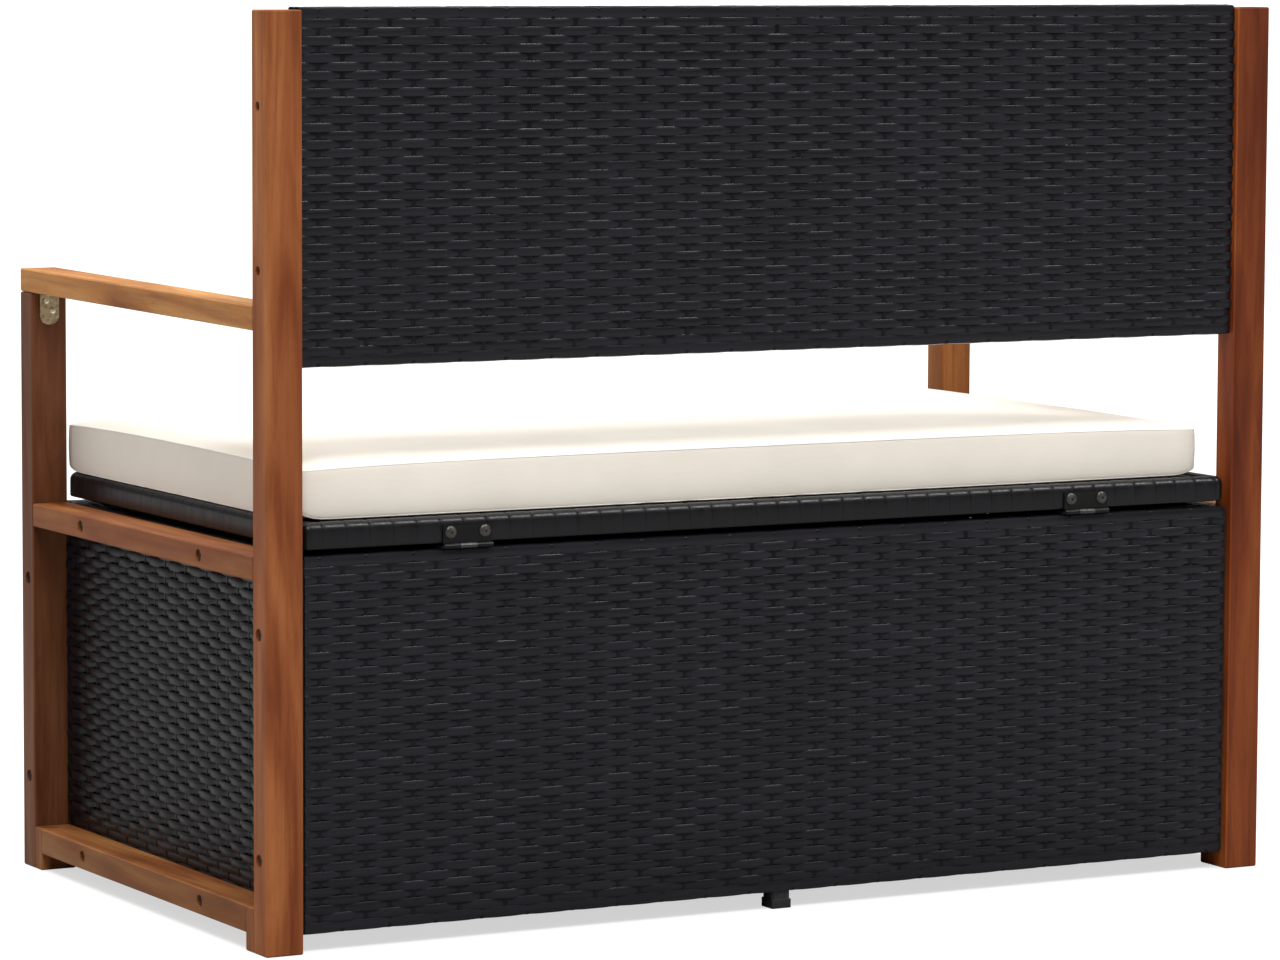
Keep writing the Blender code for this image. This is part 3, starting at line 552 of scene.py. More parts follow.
@dataclass(frozen=True)
class CreamFabric:
    """Plain-woven polyester cover: fine threads both ways and soft tonal drift.

    Attributes:
        name: Name of the material.
        colour: Colour of the cloth.
        pitch: Distance between threads.
    """

    name: str
    colour: Point = (0.92, 0.86, 0.765)
    pitch: float = 0.0008

    def make(self) -> bpy.types.Material:
        """Builds the material.

        Returns:
            The material.
        """
        graph = Graph(self.name)
        drift = graph.noise(graph.place, scale=9.0, detail=3.0, roughness=0.55)
        slubs = graph.noise(graph.stretch((60.0, 900.0, 900.0)), detail=2.0, roughness=0.5)
        ways = [graph.threads(axis, self.pitch, 0.4) for axis in Axis]
        weave = graph.sum_of(graph.sum_of(ways[0], ways[1], "MAXIMUM"), ways[2], "MULTIPLY")
        colour = graph.ramp(drift, ((0.35, scaled(self.colour, 0.94)), (0.65, self.colour)))
        slub_tints = ((0.35, (0.93, 0.93, 0.93)), (0.65, (1.03, 1.03, 1.03)))
        colour = graph.tinted(colour, graph.ramp(slubs, slub_tints), 0.25)
        normal = graph.bump(weave, depth=0.00010, strength=0.20)
        normal = graph.bump(drift, depth=0.0012, strength=0.35, under=normal)
        graph.settle(Base_Color=colour, Roughness=0.92, Specular_IOR_Level=0.15, Sheen_Weight=0.12,
                     Sheen_Roughness=0.6, Normal=normal)
        return graph.material


@dataclass(frozen=True)
class FibreBoard:
    """Dark coated board with a fine speckled face.

    Attributes:
        name: Name of the material.
        shade: Brightness of the coating.
    """

    name: str
    shade: float = 0.03

    def make(self) -> bpy.types.Material:
        """Builds the material.

        Returns:
            The material.
        """
        graph = Graph(self.name)
        speckle = graph.noise(graph.place, scale=420.0, detail=3.0, roughness=0.65)
        drift = graph.noise(graph.place, scale=6.0, detail=2.0, roughness=0.5)
        coating = scaled(WHITE, self.shade)
        colour = graph.ramp(speckle, ((0.35, scaled(coating, 0.6)), (0.70, scaled(coating, 1.7))))
        drift_tints = ((0.3, (0.7, 0.7, 0.7)), (0.7, (1.2, 1.2, 1.2)))
        colour = graph.tinted(colour, graph.ramp(drift, drift_tints), 0.3)
        graph.settle(Base_Color=colour, Roughness=0.72, Specular_IOR_Level=0.25,
                     Normal=graph.bump(speckle, depth=0.0001, strength=0.5))
        return graph.material


# Mesh helpers

# Edges of turned parts that are bent more than this stay sharp.
TURNED_SHARP_DEG = 32.0


def smooth(mesh: bpy.types.Mesh, sharp_deg: float) -> None:
    """Shades a mesh smooth, apart from edges bent more than an angle."""
    mesh.shade_smooth()
    mesh.set_sharp_from_angle(angle=math.radians(sharp_deg))


def place_object(name: str, data: bpy.types.ID) -> bpy.types.Object:
    """Puts a mesh, a lamp or a camera in the scene.

    Args:
        name: Name of the object.
        data: What it shows.

    Returns:
        The object.
    """
    made = bpy.data.objects.new(name, data)
    bpy.context.scene.collection.objects.link(made)
    return made


def mesh_of(name: str, points: np.ndarray, loops: np.ndarray, counts: np.ndarray,
            sharp_deg: float = 50.0) -> bpy.types.Mesh:
    """Fills a mesh from arrays.

    Args:
        name: Name of the mesh.
        points: Vertex places, one row each.
        loops: Vertex numbers of the faces, one after another.
        counts: Corners of each face.
        sharp_deg: Edges bent more than this stay sharp.

    Returns:
        The shaded mesh.
    """
    mesh = bpy.data.meshes.new(name)
    mesh.vertices.add(len(points))
    mesh.vertices.foreach_set("co", np.ascontiguousarray(points, np.float32).ravel())
    mesh.loops.add(len(loops))
    mesh.loops.foreach_set("vertex_index", np.ascontiguousarray(loops, np.int32))
    mesh.polygons.add(len(counts))
    starts = np.concatenate(([0], np.cumsum(counts)[:-1])).astype(np.int32)
    mesh.polygons.foreach_set("loop_start", starts)
    mesh.update(calc_edges=True)
    smooth(mesh, sharp_deg)
    return mesh


def tube_faces(rings: int, sides: int, flip: bool) -> tuple[np.ndarray, np.ndarray]:
    """Faces of a closed tube: quads between rings and one cap at each end.

    Args:
        rings: Number of rings.
        sides: Points in each ring.
        flip: Turns every face over.

    Returns:
        Vertex numbers, and the corners of each face.
    """
    ring = np.arange(rings - 1)[:, None] * sides
    here = np.arange(sides)[None, :]
    after = (here + 1) % sides
    quads = np.stack((ring + here, ring + after, ring + sides + after, ring + sides + here), axis=-1)
    quads = quads.reshape(-1, 4)
    start = np.arange(sides)[::-1]
    end = (rings - 1) * sides + np.arange(sides)
    if flip:
        quads = quads[:, ::-1]
        start = start[::-1]
        end = end[::-1]
    loops = np.concatenate((quads.ravel(), start, end))
    counts = np.concatenate((np.full(len(quads), 4), (sides, sides)))
    return loops, counts


def join_tubes(name: str, tubes: list[np.ndarray], flip: bool, sharp_deg: float = 50.0) -> bpy.types.Mesh:
    """One mesh of many tubes.

    Args:
        name: Name of the mesh.
        tubes: For each tube, its points as rings x sides x 3.
        flip: Turns every face over.
        sharp_deg: Edges bent more than this stay sharp.

    Returns:
        The mesh.
    """
    known: dict[tuple[int, int], tuple[np.ndarray, np.ndarray]] = {}
    points, loops, counts = [], [], []
    first = 0
    for tube in tubes:
        shape = tube.shape[:2]
        if shape not in known:
            known[shape] = tube_faces(*shape, flip)
        tube_loops, tube_counts = known[shape]
        points.append(tube.reshape(-1, 3))
        loops.append(tube_loops + first)
        counts.append(tube_counts)
        first += shape[0] * shape[1]
    return mesh_of(name, np.concatenate(points), np.concatenate(loops), np.concatenate(counts), sharp_deg)


def add_piece(mesh: bpy.types.Mesh, finish: bpy.types.Material, body: Body,
              replaced: tuple[str, ...] = ()) -> bpy.types.Object:
    """Puts a finished mesh in the scene as a piece of the bench.

    Args:
        mesh: The piece's mesh, in the row frame.
        finish: Its material.
        body: Body that it rides on.
        replaced: CAD nodes that it stands for.

    Returns:
        The piece.
    """
    piece = place_object(mesh.name, mesh)
    mesh.materials.clear()
    mesh.materials.append(finish)
    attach(piece, body.value)
    if replaced:
        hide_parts(*replaced)
    LOG.info("piece %s: %d faces", piece.name, len(mesh.polygons))
    return piece


def dress(node: str, finish: bpy.types.Material) -> None:
    """Gives a CAD node its finish.

    Args:
        node: Name of the node.
        finish: Material for all of its slots.
    """
    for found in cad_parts[node].material_slots:
        found.material = finish
    LOG.info("node %s: %s", node, finish.name)


def carved(mesh: bpy.types.Mesh, cutter: bpy.types.Mesh) -> bpy.types.Mesh:
    """Cuts one closed mesh from another.

    Args:
        mesh: What is cut.
        cutter: What is taken away.

    Returns:
        A new mesh with the same name.
    """
    name = mesh.name
    target = place_object(name, mesh)
    tool = place_object(f"{name}_cutter", cutter)
    cut = target.modifiers.new("cut", "BOOLEAN")
    cut.operation = "DIFFERENCE"
    cut.solver = "EXACT"
    cut.use_self = True
    cut.object = tool
    found = target.evaluated_get(bpy.context.evaluated_depsgraph_get())
    result = bpy.data.meshes.new_from_object(found)
    for made in (target, tool):
        bpy.data.objects.remove(made)
    mesh.name = f"{name}_uncut"
    result.name = name
    return result


def turned(name: str, profile: list[tuple[float, float]], place: Point, direction: Point,
           sides: int = 28) -> bpy.types.Mesh:
    """Solid of revolution.

    Args:
        name: Name of the mesh.
        profile: Radius and height of each ring, from the bottom up.
        place: Where height 0 lies on the axis.
        direction: Way of the axis.
        sides: Facets round it.

    Returns:
        The mesh.
    """
    angles = np.linspace(0.0, math.tau, sides, endpoint=False)
    rings = np.array([[(radius * math.cos(a), radius * math.sin(a), height) for a in angles]
                      for radius, height in profile])
    turn = np.array(Vector(direction).to_track_quat("Z", "Y").to_matrix())
    tube = rings @ turn.T + np.array(place)
    return join_tubes(name, [tube], flip=False, sharp_deg=TURNED_SHARP_DEG)


# Woven work


class Course:
    """A line in a panel's cross-section, with rounded corners, measured along its length.

    Attributes:
        reach: Half the length over which the line's direction is taken.
        turns: Number of the middle point of each rounded corner.
        points: Points along the line.
        lengths: Distance of each of them along it.
        total: Length of the line.
    """

    reach: float = 0.0004

    def __init__(self, corners: list[tuple[float, float]], radius: float, steps: int = 6) -> None:
        """Samples the line.

        Args:
            corners: Its corner points.
            radius: Radius of every inner corner.
            steps: Pieces of each rounded corner.
        """
        line = [np.array(corner, float) for corner in corners]
        points = [line[0]]
        self.turns = []
        for before, corner, after in zip(line, line[1:], line[2:]):
            back = (before - corner) / np.linalg.norm(before - corner)
            ahead = (after - corner) / np.linalg.norm(after - corner)
            centre = corner + radius * (back + ahead)
            start, end = corner + radius * back - centre, corner + radius * ahead - centre
            low = math.atan2(start[1], start[0])
            swing = (math.atan2(end[1], end[0]) - low + math.pi) % math.tau - math.pi
            first = len(points)
            for step in range(steps + 1):
                angle = low + swing * step / steps
                points.append(centre + radius * np.array((math.cos(angle), math.sin(angle))))
            self.turns.append(first + steps // 2)
        points.append(line[-1])
        self.points = np.array(points)
        gaps = np.linalg.norm(np.diff(self.points, axis=0), axis=1)
        self.lengths = np.concatenate(([0.0], np.cumsum(gaps)))
        self.total = float(self.lengths[-1])

    def corner(self, number: int) -> float:
        """Distance along the line to the middle of a rounded corner."""
        return float(self.lengths[self.turns[number]])

    def at(self, along: np.ndarray) -> tuple[np.ndarray, np.ndarray]:
        """Points and outward normals.

        Args:
            along: Distances along the line.

        Returns:
            Points and unit normals, with a last axis of 2.
        """
        def place(where: np.ndarray) -> np.ndarray:
            """Points of the line, which runs straight on past its ends.

            Args:
                where: Distances along it.

            Returns:
                Points with a last axis of 2.
            """
            inside = np.clip(where, 0.0, self.total)
            found = np.stack([np.interp(inside, self.lengths, self.points[:, k]) for k in (0, 1)], axis=-1)
            past = (where - inside)[..., None]
            ends = self.points[[0, -1]] - self.points[[1, -2]]
            ends = ends / np.linalg.norm(ends, axis=1)[:, None]
            return found + np.where(past < 0, -past * ends[0], past * ends[1])

        way = place(along + self.reach) - place(along - self.reach)
        way = way / np.linalg.norm(way, axis=-1)[..., None]
        return place(along), np.stack((way[..., 1], -way[..., 0]), axis=-1)


def wrap_course(inner: float, outer: float, low: float, high: float,
                skin: float) -> list[tuple[float, float]]:
    """Course of a skin from a panel's inner side round its outer face and back.

    Args:
        inner: Where the course starts and ends.
        outer: The panel's outer face.
        low: Its lower edge.
        high: Its upper edge.
        skin: Thickness of the skin.

    Returns:
        Corner points of the skin's inner face.
    """
    face, floor, top = outer - skin, low + skin, high - skin
    return [(inner, floor), (face, floor), (face, top), (inner, top)]


@dataclass(frozen=True)
class Strand:
    """A flat extruded strand with a crowned outer face.

    Attributes:
        width: Across the strand.
        thickness: Through it at its middle.
        outer: Points across its outer face.
        inner: Points across its flat inner face.
        flatness: Power that moves the outer points toward the edges, below 1 for a flatter middle.
        edge_fall: Share of the thickness by which the outer face falls toward the edges.
        crown_power: How late it falls; a high power keeps the middle flat.
        foot: Width of the inner face, as a share of the strand's width.
    """

    width: float
    thickness: float
    outer: int = 5
    inner: int = 2
    flatness: float = 0.65
    edge_fall: float = 0.64
    crown_power: int = 6
    foot: float = 0.97

    def section(self) -> np.ndarray:
        """Closed outline of the strand.

        Returns:
            Rows of (across, height).
        """
        half = self.width / 2
        places = np.sin(np.linspace(-math.pi / 2, math.pi / 2, self.outer))
        places = np.sign(places) * np.abs(places) ** self.flatness
        crown = self.thickness * (1.0 - self.edge_fall * np.abs(places) ** self.crown_power)
        top = np.stack((places * half, crown), axis=-1)
        foot = self.foot * half
        low = np.stack((np.linspace(foot, -foot, self.inner), np.zeros(self.inner)), axis=-1)
        return np.concatenate((top, low))


@dataclass(frozen=True)
class Row:
    """One strand of a woven face.

    Attributes:
        middle: Distance of its middle line along the course.
        width: Its width.
        parity: Which stakes it passes under.
        swell: Extra rise where it passes over a stake.
        folded: True where it lies round a corner.
    """

    middle: float
    width: float
    parity: int
    swell: float
    folded: bool = False


@dataclass
class WovenSkin:
    """Flat strands woven over and under stakes, wrapped over the edges of a steel frame.

    Attributes:
        name: Start of the pieces' names.
        corners: Corner points of the skin's inner face in the cross-section, as (out, up).
        along: Direction of the strands.
        out: Direction of the first number of a corner point.
        up: Direction of the second number.
        start: First end of the strands along their direction.
        end: Last end.
        seed: Seed of the small irregularities.
        flats: Corner-to-corner stretches that get a swell.
        calm: Length at each end of a swollen stretch that gets no swell.
        ease: Length over which the swell then grows.
        swell: Extra rise of a strand over a stake, away from the edges.
        stake_pitch: From one stake to the next.
        row_pitch: From one strand to the next.
        row_cover: Width of a strand as a share of that pitch, above 1 where strands overlap.
        low_reach: How far beside a stake a strand stays under it, in stakes.
        dive: Length over which it then comes up, in stakes.
        sink: Height at which a strand passes under a stake.
        lean: How much one edge of a strand stands over the other, at random.
        lean_limit: Largest lean, as a factor.
        wobble: Random rise of a strand over a stake.
        flat_wobble: The same where the weave has no swell.
        wobble_limits: Largest fall and rise, as factors.
        stray: Size and waves per radian of the ways in which a strand strays sideways.
        fold_stray: Share of that round a corner.
        fold_relief: How much lower a strand round a corner passes under a stake.
        strand_thickness: Through a strand.
        stake_width: Across a stake.
        stake_thickness: Through a stake.
        stake_stray: Random shift of a stake.
        stake_inset: How far a stake ends inside the course.
        skin: Thickness of the whole weave.
        edge_width: Width of the strands that lie round a corner.
        corner_radius: Radius of the course's corners.
        cell_samples: Places from a stake passed under to the next, in stakes, where a strand has points.
    """

    name: str
    corners: list[tuple[float, float]]
    along: Point
    out: Point
    up: Point
    start: float
    end: float
    seed: Seed
    flats: tuple[int, ...] = (1,)
    calm: float = 0.0
    ease: float = 0.012
    swell: float = 0.0012
    stake_pitch: float = 0.0237
    row_pitch: float = 0.0077
    row_cover: float = 1.07
    low_reach: float = 0.05
    dive: float = 0.62
    sink: float = 0.0004
    lean: float = 0.00026
    lean_limit: float = 1.8
    wobble: float = 0.00025
    flat_wobble: float = 0.00003
    wobble_limits: tuple[float, float] = (-2.0, 1.2)
    stray: tuple[tuple[float, float], ...] = ((0.00006, 41.0), (0.00004, 97.0))
    fold_stray: float = 0.3
    fold_relief: float = 0.0004
    strand_thickness: float = 0.0011
    stake_width: float = 0.0046
    stake_thickness: float = 0.0005
    stake_stray: float = 0.0002
    stake_inset: float = 0.0006
    skin: float = 0.0025
    edge_width: float = 0.0165
    corner_radius: float = 0.0010
    cell_samples: tuple[float, ...] = FINE_CELL

    def __post_init__(self) -> None:
        """Measures the course and sets out the stakes."""
        self.course = Course(self.corners, self.corner_radius)
        self.random = np.random.default_rng(self.seed.value)
        length = self.end - self.start
        self.stakes = int(length / self.stake_pitch)
        self.first_stake = self.start + (length - (self.stakes - 1) * self.stake_pitch) / 2
        self.axes = np.array((self.along, self.out, self.up), float)
        self.flip = bool(np.linalg.det(self.axes) < 0)

    def rows(self) -> list[Row]:
        """Lays out every strand.

        Returns:
            The strands, from the start of the course to its end.
        """
        found = []
        bounds = [0.0]
        for number in range(len(self.course.turns)):
            middle = self.course.corner(number)
            bounds += [middle - self.edge_width / 2, middle + self.edge_width / 2]
        bounds.append(self.course.total)
        parity = 0
        for stretch, (low, high) in enumerate(zip(bounds, bounds[1:])):
            if stretch % 2:
                found.append(Row((low + high) / 2, high - low, parity, 0.0, True))
                parity ^= 1
                continue
            count = max(round((high - low) / self.row_pitch), 1)
            pitch = (high - low) / count
            for step in range(count):
                middle = low + (step + 0.5) * pitch
                inside = min(middle - low, high - middle) - self.calm
                lift = float(np.clip(inside / self.ease, 0.0, 1.0)) if stretch // 2 in self.flats else 0.0
                found.append(Row(middle, pitch * self.row_cover, parity, self.swell * lift))
                parity ^= 1
        return found

    def spread(self, where: np.ndarray, across: np.ndarray, height: np.ndarray) -> np.ndarray:
        """World places of points given along the strands, along the course and above it.

        Args:
            where: Places along the strands.
            across: Distances along the course.
            height: Heights over the skin's inner face.

        Returns:
            Points with a last axis of 3.
        """
        place, normal = self.course.at(across)
        lifted = place + normal * height[..., None]
        flat = np.stack(np.broadcast_arrays(where, lifted[..., 0], lifted[..., 1]), axis=-1)
        return flat @ self.axes

    def sample_cells(self, parity: int) -> np.ndarray:
        """Places along a row, counted in stakes, denser where the strand dives.

        Args:
            parity: Which stakes the row passes under.

        Returns:
            Sorted places from one end to the other.
        """
        low = (self.start - self.first_stake) / self.stake_pitch
        high = (self.end - self.first_stake) / self.stake_pitch
        cells = [low, high]
        for cell in range(math.floor(low), math.ceil(high)):
            dives_here = (cell - parity) % 2 == 0
            for share in self.cell_samples:
                cells.append(cell + share if dives_here else cell + 1 - share)
        kept = np.unique(np.round(np.array(cells), 5))
        return kept[(kept >= low - TOLERANCE) & (kept <= high + TOLERANCE)]

    def strand(self, row: Row) -> Strand:
        """Shape of a row's strand, with more points across it where it lies round a corner.

        Args:
            row: The row.

        Returns:
            The strand.
        """
        if row.folded:
            return Strand(row.width, self.strand_thickness, outer=13, inner=7, flatness=1.0)
        return Strand(row.width, self.strand_thickness)

    def weft(self, row: Row) -> np.ndarray:
        """Points of one strand that runs over and under the stakes.

        Args:
            row: The strand.

        Returns:
            Rings x sides x 3.
        """
        section = self.strand(row).section()
        cells = self.sample_cells(row.parity)
        nearest = np.clip(np.rint(cells).astype(int) + 1, 0, self.stakes + 3)
        away = np.abs((cells - row.parity + 1) % 2 - 1)
        share = np.clip((away - self.low_reach) / self.dive, 0.0, 1.0)
        share = share * share * (3 - 2 * share)
        uneven = self.random.normal(0.0, 1.0, self.stakes + 4)[nearest]
        rise = self.skin - self.strand_thickness + row.swell
        wobble = self.wobble if row.swell else self.flat_wobble
        lifted = rise + wobble * np.clip(uneven, *self.wobble_limits)
        sink = rise - self.fold_relief if row.folded else self.sink
        height = sink + share * (lifted - sink)
        where = self.first_stake + cells * self.stake_pitch
        phases = self.random.uniform(0.0, math.tau, len(self.stray))
        drift = sum(size * np.sin(where * waves + phase) for (size, waves), phase in zip(self.stray, phases))
        drift = drift * (self.fold_stray if row.folded else 1.0)
        leaning = self.random.normal(0.0, 1.0, self.stakes + 4)[nearest]
        tilt = np.clip(leaning, -self.lean_limit, self.lean_limit) * share
        tilt = tilt * (0.0 if row.folded else self.lean)
        slope = tilt[:, None] * section[None, :, 0] * 2 / row.width
        across = row.middle + drift[:, None] + section[None, :, 0]
        return self.spread(where[:, None], across, height[:, None] + section[None, :, 1] + slope)

    def stake(self, number: int) -> np.ndarray:
        """Points of one upright stake.

        Args:
            number: Which stake.

        Returns:
            Rings x sides x 3.
        """
        section = Strand(self.stake_width, self.stake_thickness).section()
        lengths = self.course.lengths.copy()
        lengths[0] += self.stake_inset
        lengths[-1] -= self.stake_inset
        middle = self.first_stake + number * self.stake_pitch + self.random.normal(0.0, self.stake_stray)
        seat = self.sink + self.strand_thickness
        height = np.broadcast_to(seat + section[None, :, 1], (len(lengths), len(section)))
        across = np.broadcast_to(lengths[:, None], height.shape)
        return self.spread(middle - section[None, :, 0], across, height)

    def build(self, rattan: "Rattan", run: Axis, stand: Axis, body: Body, replaced: tuple[str, ...]) -> None:
        """Makes the strands and the stakes as two pieces.

        Args:
            rattan: Finishes.
            run: Axis of the strands.
            stand: Axis of the stakes.
            body: Body that they ride on.
            replaced: CAD nodes that they stand for.
        """
        strands = join_tubes(f"{self.name}_strands", [self.weft(row) for row in self.rows()], self.flip)
        add_piece(strands, rattan.strands[run], body, replaced)
        stakes = join_tubes(f"{self.name}_stakes", [self.stake(k) for k in range(self.stakes)], self.flip)
        add_piece(stakes, rattan.stakes[stand], body)


@dataclass(frozen=True)
class Rattan:
    """The rattan's finishes, one for each way that strands run.

    Attributes:
        strands: Finish of the strands that run along an axis.
        stakes: Finish of the stakes behind them, darkened as painted shade in the pits where they show.
        rim: Finish of the lid's rim, darkened as painted shade on the rim's rear and end faces.
    """

    strands: dict[Axis, bpy.types.Material]
    stakes: dict[Axis, bpy.types.Material]
    rim: bpy.types.Material

    @classmethod
    def make(cls) -> "Rattan":
        """Builds the materials.

        Returns:
            All of the finishes.
        """
        strands = {
            Axis.X: WovenPlastic("rattan_x", Axis.X).make(),
            # The side walls' strands are a darker copy of the same plastic: painted shade on the recessed
            # ends of the box.
            Axis.Y: WovenPlastic("rattan_ends", Axis.Y, shade=0.72, sheen=0.26).make(),
        }
        # The stakes' finish is darkened as painted shade in the pits between the strands.
        stakes = {
            axis: WovenPlastic(f"stake_{axis.name.lower()}", axis, shade=0.75, sheen=0.14).make()
            for axis in (Axis.Y, Axis.Z)
        }
        # The rim's finish is darkened as painted shade on the lid's rear and end faces.
        return cls(strands, stakes, WovenPlastic("rattan_rim", Axis.Z, shade=0.46, sheen=0.30).make())


@dataclass
class BoxPanels:
    """Woven skins of the box's four walls.

    Attributes:
        skin: Thickness of a skin.
        end_gap: Between a side wall's strands and the posts.
        long_end_gap: Between the rear or front wall's strands and the posts.
        side_calm: Flat stretch at the upper and the lower edge of a side wall.
        side_swell: Extra rise of a side wall's strands.
        side_dive: Length over which they come up, in stakes.
    """

    skin: float = 0.0025
    end_gap: float = 0.0003
    long_end_gap: float = 0.0040
    side_calm: float = 0.022
    side_swell: float = 0.0024
    side_dive: float = 0.74

    def long_wall(self, name: str, facing: int, seed: Seed, rattan: Rattan) -> None:
        """Skin of the rear or the front wall.

        Args:
            name: Which wall.
            facing: +1 for the rear, -1 for the front.
            seed: Seed of its irregularities.
            rattan: Finishes.
        """
        node = f"{name}_weave"
        low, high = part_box(node)
        inner, outer = sorted((facing * low.y, facing * high.y))
        skin = WovenSkin(
            f"{name}_panel", wrap_course(inner, outer, low.z, high.z, self.skin),
            along=(1, 0, 0), out=(0, facing, 0), up=(0, 0, 1),
            start=low.x + self.long_end_gap, end=high.x - self.long_end_gap, seed=seed,
            cell_samples=FINE_CELL if facing > 0 else COARSE_CELL)
        skin.build(rattan, Axis.X, Axis.Z, Body.BENCH, (node,))

    def side_wall(self, side: Side, seed: Seed, rattan: Rattan) -> None:
        """Skin of an end wall.

        Args:
            side: Which end.
            seed: Seed of its irregularities.
            rattan: Finishes.
        """
        node = f"side_weave_{side.label}"
        low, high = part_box(node)
        inner, outer = sorted((side.value * low.x, side.value * high.x))
        skin = WovenSkin(
            f"side_panel_{side.label}", wrap_course(inner, outer, low.z, high.z, self.skin),
            along=(0, 1, 0), out=(side.value, 0, 0), up=(0, 0, 1),
            start=low.y + self.end_gap, end=high.y - self.end_gap, seed=seed,
            calm=self.side_calm, swell=self.side_swell, dive=self.side_dive, cell_samples=COARSE_CELL)
        skin.build(rattan, Axis.Y, Axis.Z, Body.BENCH, (node,))

    def build(self, rattan: Rattan) -> None:
        """Makes all four walls.

        Args:
            rattan: Finishes.
        """
        self.long_wall("rear", 1, Seed.REAR_PANEL, rattan)
        self.long_wall("front", -1, Seed.FRONT_PANEL, rattan)
        self.side_wall(Side.LEFT, Seed.LEFT_PANEL, rattan)
        self.side_wall(Side.RIGHT, Seed.RIGHT_PANEL, rattan)


@dataclass
class BackPanel:
    """Back panel, woven on both faces and over its edges.

    Attributes:
        node: CAD node of the skin.
        skin: Thickness of the skin.
        end_gap: Between a strand's end and the wood beside it.
    """

    node: str = "back_weave"
    skin: float = 0.0025
    end_gap: float = 0.0003

    def build(self, rattan: Rattan) -> None:
        """Makes the rear and the front half of the sleeve.

        Args:
            rattan: Finishes.
        """
        low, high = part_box(self.node)
        for name, facing, seed, samples in (("rear", 1, Seed.BACK_PANEL_REAR, FINE_CELL),
                                            ("front", -1, Seed.BACK_PANEL_FRONT, COARSE_CELL)):
            inner, outer = sorted((facing * low.y, facing * high.y))
            skin = WovenSkin(
                f"back_panel_{name}", wrap_course((inner + outer) / 2, outer, low.z, high.z, self.skin),
                along=(1, 0, 0), out=(0, facing, 0), up=(0, 0, 1),
                start=low.x + self.end_gap, end=high.x - self.end_gap, seed=seed, cell_samples=samples)
            skin.build(rattan, Axis.X, Axis.Z, Body.BENCH, (self.node,))


